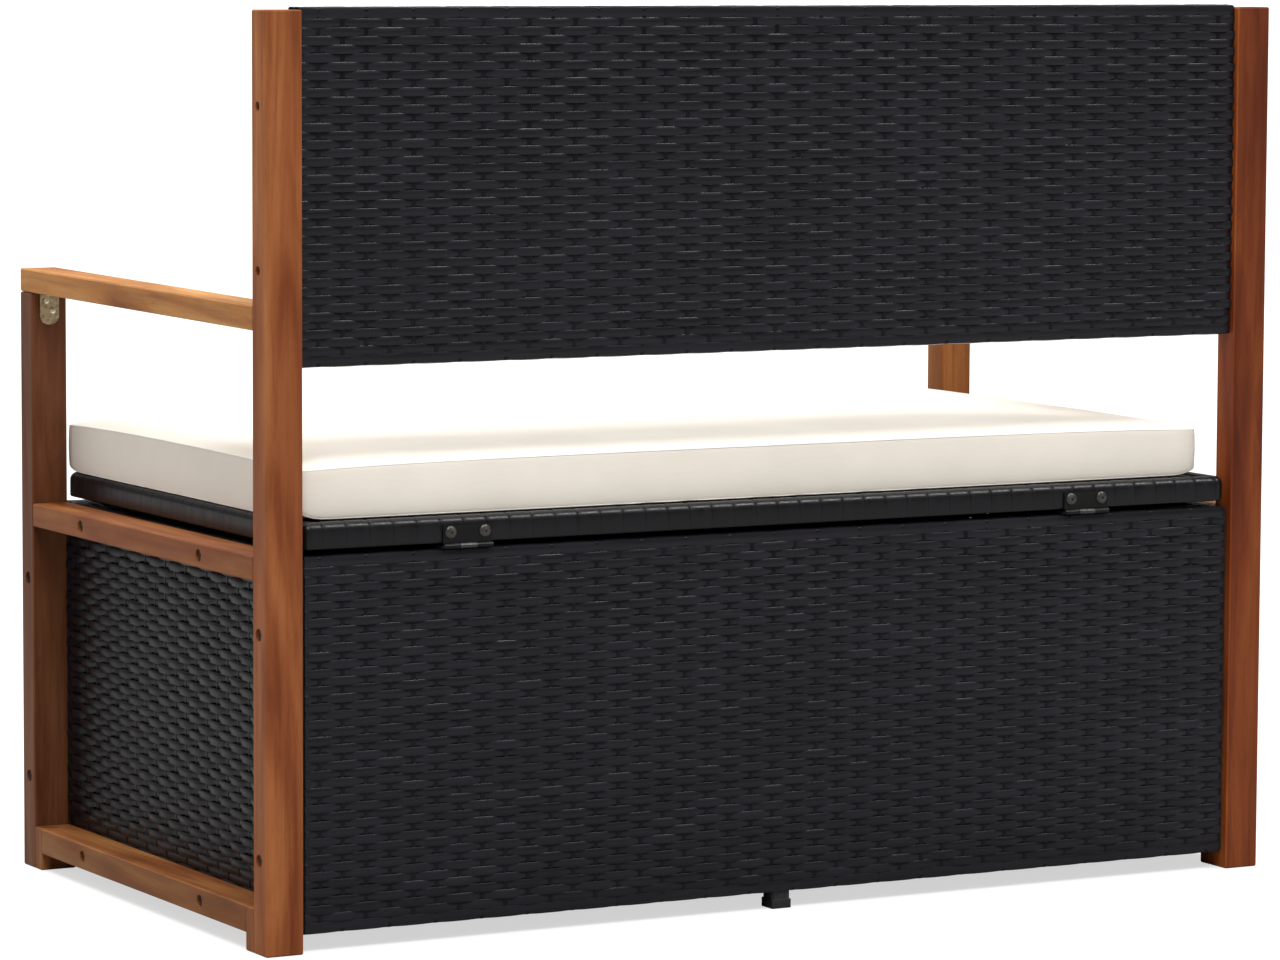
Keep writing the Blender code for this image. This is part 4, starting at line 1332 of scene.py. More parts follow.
@dataclass
class Lid:
    """Woven lid with a rim of strands wrapped side by side.

    Attributes:
        node: CAD node of the skin.
        skin: Thickness of the skin.
        field_overlap: How far the top's strands reach under the rim's wraps.
        field_samples: Places along a top strand, from a stake passed under to the next, that have points.
        rim_width: How far the rim's wraps reach in over the top.
        rim_tuck: How far past that they dip under the top's strands, inward and down.
        rim_round: Radius of the lid's upper edge.
        rim_foot: Radius of its lower edge.
        under_reach: How far the wraps reach in below.
        wrap_pitch: From one wrap to the next.
        group: Wraps between two of the wider joints.
        corner: Radius of the lid's corners seen from above.
        corner_steps: Pieces of each of those corners.
        wrap_thickness: Through a wrap.
        wrap_foot: Width of a wrap's inner face, as a share of its width.
        wrap_stray: Random depth of a wrap.
        joint: Half the gap, and the fall of the edges, at a wider joint.
        seam: The same between the wraps of a group.
        joint_band: Depths under the top between which the joints open.
        joint_low: Share of the joints' depth below that band.
        end_calm: How much shallower the joints are on the lid's ends.
    """

    node: str = "lid_weave"
    skin: float = 0.0025
    field_overlap: float = 0.0015
    field_samples: tuple[float, ...] = (0.0, 0.30, 0.62)
    rim_width: float = 0.0120
    rim_tuck: tuple[float, float] = (0.0016, 0.0008)
    rim_round: float = 0.0078
    rim_foot: float = 0.0022
    under_reach: float = 0.020
    wrap_pitch: float = 0.0079
    group: int = 3
    corner: float = 0.008
    corner_steps: int = 10
    wrap_thickness: float = 0.0012
    wrap_foot: float = 0.9
    wrap_stray: float = 0.00004
    joint: tuple[float, float] = (0.00032, 0.00045)
    seam: tuple[float, float] = (0.00001, 0.00007)
    joint_band: tuple[float, float] = (0.0095, 0.0045)
    joint_low: float = 0.12
    end_calm: float = 0.7

    def field(self, rattan: Rattan) -> None:
        """Makes the weave of the lid's top.

        Args:
            rattan: Finishes.
        """
        low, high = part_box(self.node)
        inset = self.rim_width - self.field_overlap
        base = high.z - self.skin
        course = [(inset - high.y, base), (-inset - low.y, base)]
        top = WovenSkin("lid_top", course, along=(-1, 0, 0), out=(0, -1, 0), up=(0, 0, 1),
                        start=inset - high.x, end=-inset - low.x, seed=Seed.LID_TOP, flats=(),
                        cell_samples=self.field_samples)
        top.build(rattan, Axis.X, Axis.Y, Body.LID, (self.node,))

    def rim_profile(self, bottom: float, top: float) -> np.ndarray:
        """Outer face of a wrap, from its end below to its end on top.

        Args:
            bottom: Height of the lid's underside.
            top: Height of its top.

        Returns:
            Rows of (inset, z, normal out, normal up).
        """
        rows = [(self.under_reach, bottom, 0.0, -1.0)]
        for angle in np.radians((90, 60, 30, 0)):
            out, down = math.cos(angle), math.sin(angle)
            rows.append((self.rim_foot * (1 - out), bottom + self.rim_foot * (1 - down), out, -down))
        for angle in np.radians(range(0, 91, 15)):
            out, up = math.cos(angle), math.sin(angle)
            rows.append((self.rim_round * (1 - out), top - self.rim_round * (1 - up), out, up))
        rows.append((self.rim_width, top, 0.0, 1.0))
        inward, down = self.rim_tuck
        rows.append((self.rim_width + inward, top - down, 0.35, 0.94))
        return np.array(rows)

    def outline(self, low: Vector, high: Vector) -> tuple[np.ndarray, np.ndarray, np.ndarray]:
        """The lid's outline seen from above.

        Args:
            low: Lowest corner of the lid.
            high: Highest corner.

        Returns:
            Distances, points and outward normals.
        """
        points, normals = [], []
        steps = self.corner_steps
        for sign_x, sign_y, begin in ((1, 1, 0), (-1, 1, 90), (-1, -1, 180), (1, -1, 270)):
            centre = ((high.x if sign_x > 0 else low.x) - sign_x * self.corner,
                      (high.y if sign_y > 0 else low.y) - sign_y * self.corner)
            for step in range(steps + 1):
                angle = math.radians(begin + 90 * step / steps)
                way = (math.cos(angle), math.sin(angle))
                points.append((centre[0] + self.corner * way[0], centre[1] + self.corner * way[1]))
                normals.append(way)
        points.append(points[0])
        normals.append(normals[0])
        points, normals = np.array(points), np.array(normals)
        lengths = np.concatenate(([0.0], np.cumsum(np.linalg.norm(np.diff(points, axis=0), axis=1))))
        return lengths, points, normals

    def rim(self, finish: bpy.types.Material) -> None:
        """Wraps strands over the lid's edge, side by side, all the way round.

        Args:
            finish: Material.
        """
        low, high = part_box(self.node)
        lengths, points, normals = self.outline(low, high)
        profile = self.rim_profile(low.z, high.z)
        total = lengths[-1]
        count = round(total / self.wrap_pitch / self.group) * self.group
        pitch = total / count
        shares = np.sin(np.linspace(-math.pi / 2, math.pi / 2, 5))
        random = np.random.default_rng(Seed.LID_RIM.value)
        band = [high.z - depth for depth in self.joint_band]
        loose = np.interp(profile[:, 1], band, (self.joint_low, 1.0))[:, None]
        wraps = []
        for number in range(count):
            first, last = number % self.group == 0, number % self.group == self.group - 1
            (gap_before, fall_before), (gap_after, fall_after) = (
                self.joint if wide else self.seam for wide in (first, last))
            start = number * pitch + loose * gap_before
            end = (number + 1) * pitch - loose * gap_after
            edge_drop = np.where(shares < 0, fall_before, fall_after)
            drop = edge_drop * np.abs(shares) ** 3 + abs(random.normal(0.0, self.wrap_stray))
            ring_along = np.concatenate((shares, (self.wrap_foot, -self.wrap_foot)))
            ring_drop = np.concatenate((drop, (self.wrap_thickness,) * 2))
            where = ((start + end) / 2 + ring_along[None, :] * (end - start) / 2) % total
            base = np.stack([np.interp(where, lengths, points[:, k]) for k in (0, 1)], axis=-1)
            out = np.stack([np.interp(where, lengths, normals[:, k]) for k in (0, 1)], axis=-1)
            out = out / np.linalg.norm(out, axis=-1)[..., None]
            opened = loose * (1.0 - self.end_calm * np.abs(out[..., 0]))
            depth = np.where(ring_drop == self.wrap_thickness, 1.0, opened) * ring_drop[None, :]
            inset = profile[:, 0, None] + depth * profile[:, 2, None]
            rise = profile[:, 1, None] - depth * profile[:, 3, None]
            flat = base - out * inset[..., None]
            wraps.append(np.concatenate((flat, rise[..., None]), axis=-1))
        mesh = join_tubes("lid_rim", wraps, flip=False, sharp_deg=60.0)
        add_piece(mesh, finish, Body.LID)

    def build(self, rattan: Rattan) -> None:
        """Makes the lid's top and its rim."""
        self.field(rattan)
        self.rim(rattan.rim)


# Wood and steel


@dataclass
class Timber:
    """The two wooden side frames.

    Attributes:
        members: Start of each member's name, its grain, and its tint on the right and on the left.
        flanks: Further tint of the faces that look along X, for the nodes that have one: painted light on
            that side, partly the wood's own tone.
        member_shift: Move of the wood's figure from one member to the next.
        left_shift: Move of the figure from the right frame to the left one.
    """

    members: tuple[tuple[str, Axis, Point, Point], ...] = (
        ("rear_post", Axis.Z, (0.83, 0.69, 0.62), (0.53, 0.32, 0.20)),
        # The right front post's tint is darkened partly as painted shade on its rear face, which stands in
        # shade, and partly to the wood's own darker tone.
        ("front_post", Axis.Z, (0.41, 0.40, 0.48), (0.90, 0.92, 0.74)),
        ("rear_foot", Axis.Z, (0.95, 0.98, 1.00), (0.90, 0.85, 0.80)),
        ("front_foot", Axis.Z, (0.90, 0.95, 1.00), (0.90, 0.88, 0.85)),
        ("armrest", Axis.Y, (1.58, 2.00, 1.86), (1.50, 1.70, 1.70)),
        ("mid_rail", Axis.Y, (0.95, 0.92, 0.78), (1.20, 1.20, 1.20)),
        ("bottom_rail", Axis.Y, (0.82, 0.88, 0.78), (1.00, 1.00, 0.95)),
    )

    # Lighter faces along X on these members: painted light on that side, partly the wood's own tone.
    flanks: tuple[tuple[str, Point], ...] = (
        ("rear_post_left", (2.10, 2.45, 2.60)),
        ("rear_post_right", (1.17, 1.24, 1.24)),
        ("front_post_right", (1.24, 1.28, 1.20)),
    )
    member_shift: float = 1.37
    left_shift: float = 17.3

    def build(self) -> None:
        """Gives every member its own timber."""
        flanks = dict(self.flanks)
        for side in Side:
            right = side is Side.RIGHT
            for number, (member, grain, right_tone, left_tone) in enumerate(self.members):
                node = f"{member}_{side.label}"
                seed = self.member_shift * number + (0.0 if right else self.left_shift)
                tone = right_tone if right else left_tone
                wood = OiledWood(f"oiled_acacia_{node}", grain, seed, tone, flanks.get(node, WHITE))
                dress(node, wood.make())


@dataclass
class Steelwork:
    """Frames, bolts, brackets, hinges and their screws.

    Attributes:
        screw_head: Radius of a hinge screw's head.
        screw_dome: Rise of its head.
        screw_shank: Radius of its shank.
        screw_length: Length of its shank.
        screw_point: Height of its point.
        screw_tip: Radius of the point, as a share of the shank's.
        dome_edge: Radius of a dome's underside, as a share of the head's.
        dome_cross: Length of the cross in a dome head, as a share of the head's radius.
        dome_recess: Depth of that cross.
        dome_turn: Least turn of that cross, its range and its changes to the metre along X.
        cross_over: How far a cross cutter stands over the head's outer face.
        cross_slot: Width of a cross's slots, as a share of their length.
        cross_taper: Radius of the cutter's point and of its top, as shares of the cross's size.
        pan_stem: Height of the thin stem under a pan head.
        pan_neck: Radius of that stem, as a share of the head's.
        pan_profile: Radius and height of a pan head's rings, as shares of its radius and height.
        pan_cross: Length and depth of its cross, as shares of its radius and height.
        pan_turn: Radians to the metre, along X and Z, that set the turn of its cross.
        bracket_screw: Radius of a bracket screw's head.
        bracket_screw_height: Height of that head.
        bracket_thickness: Thickness of a bracket's plate.
        bracket_round: Radius of its corners.
        bracket_steps: Rings across each of them.
        post_screws: Shift along X and drop from the top of the screws in the post.
        arm_screws: Shift along X and distance from the post of the screws in the armrest.
        leaf_thickness: Thickness of a box leaf.
        leaf_screw: Radius of a box leaf screw's head.
        leaf_screw_height: Height of that head.
        leaf_screw_spread: From the leaf's middle to a screw.
        leaf_screw_reach: From the leaf's edge to a screw.
        cap_height: Height of a middle leg's cap.
        cap_wall: Thickness of its wall.
        cap_ease: Width of its eased edges.
    """

    screw_head: float = 0.0060
    screw_dome: float = 0.0026
    screw_shank: float = 0.0017
    screw_length: float = 0.014
    screw_point: float = 0.002
    screw_tip: float = 0.4
    dome_edge: float = 0.96
    dome_cross: float = 0.95
    dome_recess: float = 0.0016
    dome_turn: Point = (25.0, 50.0, 7.3)
    cross_over: float = 0.0012
    cross_slot: float = 0.26
    cross_taper: tuple[float, float] = (0.34, 0.5)
    pan_stem: float = 0.0006
    pan_neck: float = 0.45
    pan_profile: tuple[tuple[float, float], ...] = (
        (1.0, 0.0), (1.0, 0.45), (0.93, 0.75), (0.78, 0.93), (0.5, 1.0), (0.1, 1.0))
    pan_cross: tuple[float, float] = (1.25, 0.9)
    pan_turn: tuple[float, float] = (40.0, 90.0)
    bracket_screw: float = 0.0030
    bracket_screw_height: float = 0.0011
    bracket_thickness: float = 0.0015
    bracket_round: float = 0.0088
    bracket_steps: int = 8
    post_screws: tuple[tuple[float, float], ...] = ((0.0035, 0.0075), (-0.0032, 0.0175))
    arm_screws: tuple[tuple[float, float], ...] = ((0.0035, 0.0085), (-0.0032, 0.0175))
    leaf_thickness: float = 0.0015
    leaf_screw: float = 0.0034
    leaf_screw_height: float = 0.0009
    leaf_screw_spread: float = 0.0175
    leaf_screw_reach: float = 0.0075
    cap_height: float = 0.009
    cap_wall: float = 0.0004
    cap_ease: float = 0.0008

    def frames(self, finish: bpy.types.Material) -> None:
        """Finishes the welded frames.

        Args:
            finish: Material.
        """
        for node in ("back_frame", "rear_frame", "front_frame", "lid_frame",
                     "side_frame_left", "side_frame_right"):
            dress(node, finish)

    def bolts(self, finish: bpy.types.Material) -> None:
        """Finishes the bolts that sit in the wood.

        Args:
            finish: Material.
        """
        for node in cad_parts:
            if "_bolt_" in node:
                dress(node, finish)

    def hinges(self, finish: bpy.types.Material, pin_highlight_finish: bpy.types.Material,
               screw_finish: bpy.types.Material) -> None:
        """Finishes the hinge leaves and pins, and makes their screws.

        Args:
            finish: Material of the leaves on the lid.
            pin_highlight_finish: Material of the pins and of the leaves on the box, lightened as a painted
                highlight along the knuckle.
            screw_finish: Material of the screws.
        """
        for side in Side:
            dress(f"hinge_lid_leaf_{side.label}", finish)
            dress(f"hinge_box_leaf_{side.label}", pin_highlight_finish)
            dress(f"hinge_pin_{side.label}", pin_highlight_finish)
            for which in ("outer", "inner"):
                self.dome_screw(f"hinge_screw_{side.label}_{which}", screw_finish)
            self.leaf_screws(side, screw_finish)

    def cross(self, name: str, centre: Vector, direction: Vector, size: float, depth: float,
              turn: float) -> bpy.types.Mesh:
        """Cutter for a cross recess.

        Args:
            name: Name of the mesh.
            centre: Middle of the head's outer face.
            direction: Outward axis of the screw.
            size: Length of the cross.
            depth: How deep it goes.
            turn: Turn about the axis, in degrees.

        Returns:
            The cutter, tapered toward its point.
        """
        bm = bmesh.new()
        point, top = (size * share for share in self.cross_taper)
        shift = Matrix.Translation((0, 0, (self.cross_over - depth) / 2))
        narrow = Matrix.Diagonal((1.0, self.cross_slot, 1.0, 1.0)) @ Matrix.Rotation(math.radians(45), 4, "Z")
        for quarter in (0.0, 90.0):
            blade = bmesh.ops.create_cone(bm, cap_ends=True, segments=4, radius1=point, radius2=top,
                                          depth=depth + self.cross_over)
            matrix = Matrix.Rotation(math.radians(quarter + turn), 4, "Z") @ narrow
            bmesh.ops.transform(bm, matrix=shift @ matrix, verts=blade["verts"])
        turn_to = direction.to_track_quat("Z", "Y").to_matrix().to_4x4()
        bmesh.ops.transform(bm, matrix=Matrix.Translation(centre) @ turn_to, verts=bm.verts)
        mesh = bpy.data.meshes.new(name)
        bm.to_mesh(mesh)
        bm.free()
        return mesh

    def recessed(self, name: str, head: bpy.types.Mesh, cutter: bpy.types.Mesh) -> bpy.types.Mesh:
        """Cuts a screw's recess and shades it.

        Args:
            name: Name of the finished mesh.
            head: The screw without a recess.
            cutter: The recess.

        Returns:
            The finished screw.
        """
        mesh = carved(head, cutter)
        mesh.name = name
        smooth(mesh, TURNED_SHARP_DEG)
        return mesh

    def dome_screw(self, node: str, finish: bpy.types.Material) -> None:
        """Dome-head screw with a cross recess, in place of its plain solid.

        Args:
            node: CAD node of the screw.
            finish: Material.
        """
        low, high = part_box(node)
        middle = (low + high) / 2
        seat = self.screw_length
        profile = [(self.screw_shank * self.screw_tip, 0.0), (self.screw_shank, self.screw_point),
                   (self.screw_shank, seat), (self.screw_head * self.dome_edge, seat)]
        for angle in np.radians(range(3, 90, 9)):
            profile.append((self.screw_head * math.cos(angle), seat + self.screw_dome * math.sin(angle)))
        start = high.y - self.screw_dome - self.screw_length
        head = turned(f"{node}_dome", profile, (middle.x, start, middle.z), (0, 1, 0), sides=36)
        least, turn_range, changes = self.dome_turn
        turn = least + turn_range * (middle.x * changes % 1.0)
        cutter = self.cross(f"{node}_cross", Vector((middle.x, high.y, middle.z)), Vector((0, 1, 0)),
                            self.screw_head * self.dome_cross, self.dome_recess, turn)
        add_piece(self.recessed(f"{node}_head", head, cutter), finish, Body.LID, (node,))

    def flat_screw(self, name: str, place: Vector, direction: Vector, radius: float, height: float,
                   finish: bpy.types.Material) -> None:
        """Low pan-head screw with a cross recess.

        Args:
            name: Name of the piece.
            place: Where its head sits on the plate.
            direction: Outward axis.
            radius: Radius of the head.
            height: Height of the head.
            finish: Material.
        """
        stem = self.pan_stem
        profile = [(radius * self.pan_neck, 0.0), (radius * self.pan_neck, stem)]
        profile += [(radius * wide, stem + height * up) for wide, up in self.pan_profile]
        start = place - direction * stem
        head = turned(f"{name}_pan", profile, tuple(start), tuple(direction))
        length, depth = radius * self.pan_cross[0], height * self.pan_cross[1]
        turn = math.degrees(place.x * self.pan_turn[0] + place.z * self.pan_turn[1]) % 90
        cutter = self.cross(f"{name}_cross", place + direction * height, direction, length, depth, turn)
        add_piece(self.recessed(name, head, cutter), finish, Body.BENCH)

    def leaf_screws(self, side: Side, finish: bpy.types.Material) -> None:
        """Makes the screws that hold a box leaf on the rear panel's top.

        Args:
            side: Which hinge.
            finish: Material.
        """
        low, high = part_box(f"hinge_box_leaf_{side.label}")
        middle = (low.x + high.x) / 2
        top = low.z + self.leaf_thickness
        for number, sign in enumerate((-1, 1), 1):
            place = Vector((middle + sign * self.leaf_screw_spread, low.y + self.leaf_screw_reach, top))
            self.flat_screw(f"box_leaf_screw_{side.label}_{number}", place, Vector((0, 0, 1)),
                            self.leaf_screw, self.leaf_screw_height, finish)

    def bracket_plate(self, node: str, finish: bpy.types.Material) -> None:
        """Bent plate with rounded ends, in place of a bracket's plain solid.

        Args:
            node: CAD node of the bracket.
            finish: Material.
        """
        low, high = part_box(node)
        middle, half = (low.x + high.x) / 2, (high.x - low.x) / 2
        thick, bend = self.bracket_thickness, self.bracket_round
        steps = bend * (1.0 - np.cos(np.linspace(0.0, math.pi / 2, self.bracket_steps)))
        widths = half - bend + np.sqrt(bend ** 2 - (bend - steps) ** 2)
        stations = [(low.y, low.z + step, low.y + thick, low.z + step, width)
                    for step, width in zip(steps, widths)]
        stations.append((low.y, high.z, low.y + thick, high.z - thick, half))
        stations += [(high.y - step, high.z, high.y - step, high.z - thick, width)
                     for step, width in zip(steps[::-1], widths[::-1])]
        rings = np.array([((middle - width, far_y, far_z), (middle + width, far_y, far_z),
                           (middle + width, near_y, near_z), (middle - width, near_y, near_z))
                          for far_y, far_z, near_y, near_z, width in stations])
        mesh = join_tubes(f"{node}_plate", [rings], flip=False, sharp_deg=30.0)
        add_piece(mesh, finish, Body.BENCH, (node,))

    def brackets(self, finish: bpy.types.Material, screw_finish: bpy.types.Material) -> None:
        """Makes the angle brackets under the armrests and their screws.

        Args:
            finish: Material of the plates.
            screw_finish: Material of the screws.
        """
        for side in Side:
            node = f"arm_bracket_{side.label}"
            self.bracket_plate(node, finish)
            low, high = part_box(node)
            middle = (low.x + high.x) / 2
            face, under = low.y + self.bracket_thickness, high.z - self.bracket_thickness
            for number, (shift, drop) in enumerate(self.post_screws, 1):
                place = Vector((middle + side.value * shift, face, high.z - drop))
                self.flat_screw(f"bracket_post_screw_{side.label}_{number}", place, Vector((0, 1, 0)),
                                self.bracket_screw, self.bracket_screw_height, screw_finish)
            for number, (shift, reach) in enumerate(self.arm_screws, 1):
                place = Vector((middle + side.value * shift, low.y + reach, under))
                self.flat_screw(f"bracket_arm_screw_{side.label}_{number}", place, Vector((0, 0, -1)),
                                self.bracket_screw, self.bracket_screw_height, screw_finish)

    def leg_caps(self, finish: bpy.types.Material) -> None:
        """Plastic caps on the feet of the two middle legs.

        Args:
            finish: Material.
        """
        for name in ("rear", "front"):
            low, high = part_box(f"{name}_frame")
            width = high.y - low.y + 2 * self.cap_wall
            middle = Vector(((low.x + high.x) / 2, (low.y + high.y) / 2, self.cap_height / 2))
            bm = bmesh.new()
            bmesh.ops.create_cube(bm, size=1.0)
            bmesh.ops.scale(bm, vec=(width, width, self.cap_height), verts=bm.verts)
            bmesh.ops.translate(bm, vec=middle, verts=bm.verts)
            bmesh.ops.bevel(bm, geom=bm.edges, offset=self.cap_ease, segments=2, affect="EDGES", profile=0.5)
            mesh = bpy.data.meshes.new(f"{name}_leg_cap")
            bm.to_mesh(mesh)
            bm.free()
            add_piece(mesh, finish, Body.BENCH)

    def build(self) -> None:
        """Finishes and makes all of the steelwork."""
        self.frames(PaintedSteel("frame_coating", shade=0.014, gloss=0.48).make())
        self.bolts(PaintedSteel("bolt_steel", shade=0.035, gloss=0.40).make())
        warm_paint = PaintedSteel("screw_paint", shade=0.026, gloss=0.26, warmth=(1.0, 0.88, 0.74), sheen=0.6)
        # The pins' paint is lighter than the leaves' as a painted highlight along the knuckle's top.
        self.hinges(PaintedSteel("hinge_paint", shade=0.0025, gloss=0.30, sheen=0.24).make(),
                    PaintedSteel("pin_paint", shade=0.018, gloss=0.26, sheen=0.6).make(), warm_paint.make())
        self.brackets(PlatedSteel("zinc_bracket").make(),
                      PlatedSteel("zinc_screw", colour=(0.78, 0.73, 0.60), gloss=0.26).make())
        self.leg_caps(PaintedSteel("cap_plastic", shade=0.010, gloss=0.55).make())


# Cushion


@dataclass
class SeatCushion:
    """Loose foam cushion in a sewn cover.

    Attributes:
        node: CAD node of the cushion.
        corner: Radius of its corners seen from above.
        crown: Rise of the top's middle over the upper seam.
        crown_run: How far in from the seam most of that rise is reached.
        corner_dip: How much lower the upper seam is at a corner.
        dip_run: How far from a corner most of that dip reaches.
        corner_lift: How much the lower edge rises at a corner.
        lift_run: How far from a corner it rises.
        bulge: How far the sides swell out between the seams.
        draw_in: How far the sides' middles are drawn in between the corners.
        shrink: How much smaller the cover is cut than the cushion.
        steps_in: Distances in from an edge at which the cover's points lie.
        spacing: Distance between its points further in.
        side_rows: Rows of faces between the seams.
        frames: Frames of the simulation.
        pressure: Pressure that fills the cover.
        stretch_stiffness: How stiffly the cloth stretches.
        bend_stiffness: How stiffly it bends.
        quality: Steps of the simulation in a frame.
        reach: How far the simulation may move a point.
        fill: Share of the cover that the foam fills. Not used.
        seam_radius: Radius of the seams' thread.
        seam_sides: Points round it.
        seam_flatness: Its height as a share of its width.
    """

    node: str = "seat_cushion"
    corner: float = 0.011
    crown: float = 0.0052
    crown_run: float = 0.045
    corner_dip: float = 0.0040
    dip_run: float = 0.085
    corner_lift: float = 0.0075
    lift_run: float = 0.030
    bulge: float = 0.0008
    draw_in: float = 0.0012
    shrink: float = 0.0012
    steps_in: tuple[float, ...] = (0.0, 0.0025, 0.006, 0.011, 0.018, 0.027, 0.038)
    spacing: float = 0.015
    side_rows: int = 7
    frames: int = 18
    pressure: float = 3.0
    stretch_stiffness: float = 25.0
    bend_stiffness: float = 1.5
    quality: int = 4
    reach: float = 0.0030
    fill: float = 0.9
    seam_radius: float = 0.0008
    seam_sides: int = 6
    seam_flatness: float = 0.6

    def lines(self, half: float) -> np.ndarray:
        """Places of the cover's points along one direction.

        Args:
            half: Half the cushion's size that way.

        Returns:
            Sorted places from one edge to the other.
        """
        near = half - np.array(self.steps_in)
        inner = np.linspace(near[-1], -near[-1], round(2 * near[-1] / self.spacing) + 1)
        return np.concatenate((-near, inner[::-1][1:-1], near[::-1]))

    def rounded(self, flat: np.ndarray, half: np.ndarray) -> np.ndarray:
        """Moves points of a rectangle's corners onto quarter circles.

        Args:
            flat: Points, with a last axis of 2.
            half: Half sizes of the rectangle.

        Returns:
            The moved points.
        """
        past = np.maximum(np.abs(flat) - (half - self.corner), 0.0)
        longest = past.max(axis=-1)
        length = np.maximum(np.linalg.norm(past, axis=-1), TINY)
        both = past.min(axis=-1) > 0
        share = np.where(both, longest / length, 1.0)[..., None]
        return np.sign(flat) * (np.minimum(np.abs(flat), half - self.corner) + past * share)

    def level(self, flat: np.ndarray, half: np.ndarray, low: float,
              high: float) -> tuple[np.ndarray, np.ndarray]:
        """Heights of the cover's lower and upper side.

        Args:
            flat: Points from the cushion's middle, with a last axis of 2.
            half: Half sizes of the cushion.
            low: Height of its underside.
            high: Height of its crown.

        Returns:
            Height below and height above each point.
        """
        gap = half - np.abs(flat)
        from_edge = gap.min(axis=-1)
        from_corner = np.linalg.norm(gap, axis=-1)
        seam = high - self.crown - self.corner_dip * np.exp(-from_corner / self.dip_run)
        rise = (high - seam) * (1.0 - np.exp(-from_edge / self.crown_run))
        near = np.clip(1.0 - from_corner / self.lift_run, 0.0, 1.0)
        lift = self.corner_lift * near * near
        return low + lift, seam + rise

    def walls(self, rim: np.ndarray, plan: np.ndarray, half: np.ndarray, below: np.ndarray,
              above: np.ndarray) -> list[np.ndarray]:
        """Rows of points round the cushion's sides, from the lower seam to the upper one.

        Args:
            rim: Points of the edge on the plain rectangle.
            plan: The same points with rounded corners.
            half: Half sizes of the cushion.
            below: Height of the lower seam at each of them.
            above: Height of the upper seam.

        Returns:
            Points of each row.
        """
        way = np.where(half - np.abs(rim) < TOLERANCE, np.sign(rim), 0.0)
        slack = np.cos(math.pi / 2 * (np.abs(rim) / half).min(axis=1))
        rows = []
        for share in np.linspace(0.0, 1.0, self.side_rows + 1):
            out = self.bulge * (math.sin(math.pi * share) - 1.0) - self.draw_in * slack
            rows.append(np.column_stack((plan + way * out[:, None], below * (1 - share) + above * share)))
        return rows

    def cover(self) -> tuple[bpy.types.Mesh, np.ndarray, np.ndarray]:
        """Closed cover before it is filled, a little smaller than the cushion.

        Returns:
            The mesh, and the numbers of the points on its lower and its upper edge.
        """
        low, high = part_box(self.node)
        middle = np.array(((low.x + high.x) / 2, (low.y + high.y) / 2))
        half = np.array(((high.x - low.x) / 2, (high.y - low.y) / 2)) - self.shrink
        across, deep = self.lines(half[0]), self.lines(half[1])
        columns, ranks = len(across), len(deep)
        grid = np.stack(np.meshgrid(across, deep, indexing="ij"), axis=-1)
        below, above = (height.ravel() for height in self.level(grid, half, low.z, high.z))
        plan = self.rounded(grid, half).reshape(-1, 2) + middle
        numbers = np.arange(columns * ranks).reshape(columns, ranks)
        edge = np.concatenate((numbers[:-1, 0], numbers[-1, :-1], numbers[:0:-1, -1], numbers[0, :0:-1]))
        walls = self.walls(grid.reshape(-1, 2)[edge], plan[edge], half, below[edge], above[edge])
        under, top = np.column_stack((plan, below)), np.column_stack((plan, above))
        under[edge], top[edge] = walls[0], walls[-1]
        count, ring = columns * ranks, np.arange(len(edge))
        between = [2 * count + row * len(edge) + ring for row in range(self.side_rows - 1)]
        rings = [edge] + between + [count + edge]
        quads = []
        for here, after in zip(rings, rings[1:]):
            quads.append(np.stack((here, np.roll(here, -1), np.roll(after, -1), after), axis=-1))
        sheet = np.stack((numbers[:-1, :-1], numbers[1:, :-1], numbers[1:, 1:], numbers[:-1, 1:]), axis=-1)
        sheet = sheet.reshape(-1, 4)
        quads += [sheet + count, sheet[:, ::-1]]
        quads = np.concatenate(quads)
        points = np.concatenate([under, top] + walls[1:-1])
        mesh = mesh_of("cover", points, quads.ravel(), np.full(len(quads), 4), 180.0)
        return mesh, edge, count + edge

    def filled(self, mesh: bpy.types.Mesh) -> tuple[bpy.types.Mesh, np.ndarray]:
        """Fills the cover with a short cloth simulation, then makes it finer.

        Args:
            mesh: The cover as it is cut.

        Returns:
            The cover as it lies on its foam, and the places of its first points.
        """
        cover = place_object("cover", mesh)
        rest = np.zeros(len(mesh.vertices) * 3)
        mesh.vertices.foreach_get("co", rest)
        rest = rest.reshape(-1, 3)
        moved = self.simulated(cover, rest)
        shift = moved - rest
        length = np.linalg.norm(shift, axis=1)
        keep = np.minimum(1.0, self.reach / np.maximum(length, TINY))
        places = rest + shift * keep[:, None]
        low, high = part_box(self.node)
        places = np.clip(places, np.array(low), np.array(high))
        mesh.vertices.foreach_set("co", places.astype(np.float32).ravel())
        mesh.update()
        fine = cover.modifiers.new("fine", "SUBSURF")
        fine.levels = 1
        fine.render_levels = 1
        result = bpy.data.meshes.new_from_object(cover.evaluated_get(bpy.context.evaluated_depsgraph_get()))
        bpy.data.objects.remove(cover)
        result.name = "seat_cushion_cover"
        result.shade_smooth()
        return result, places

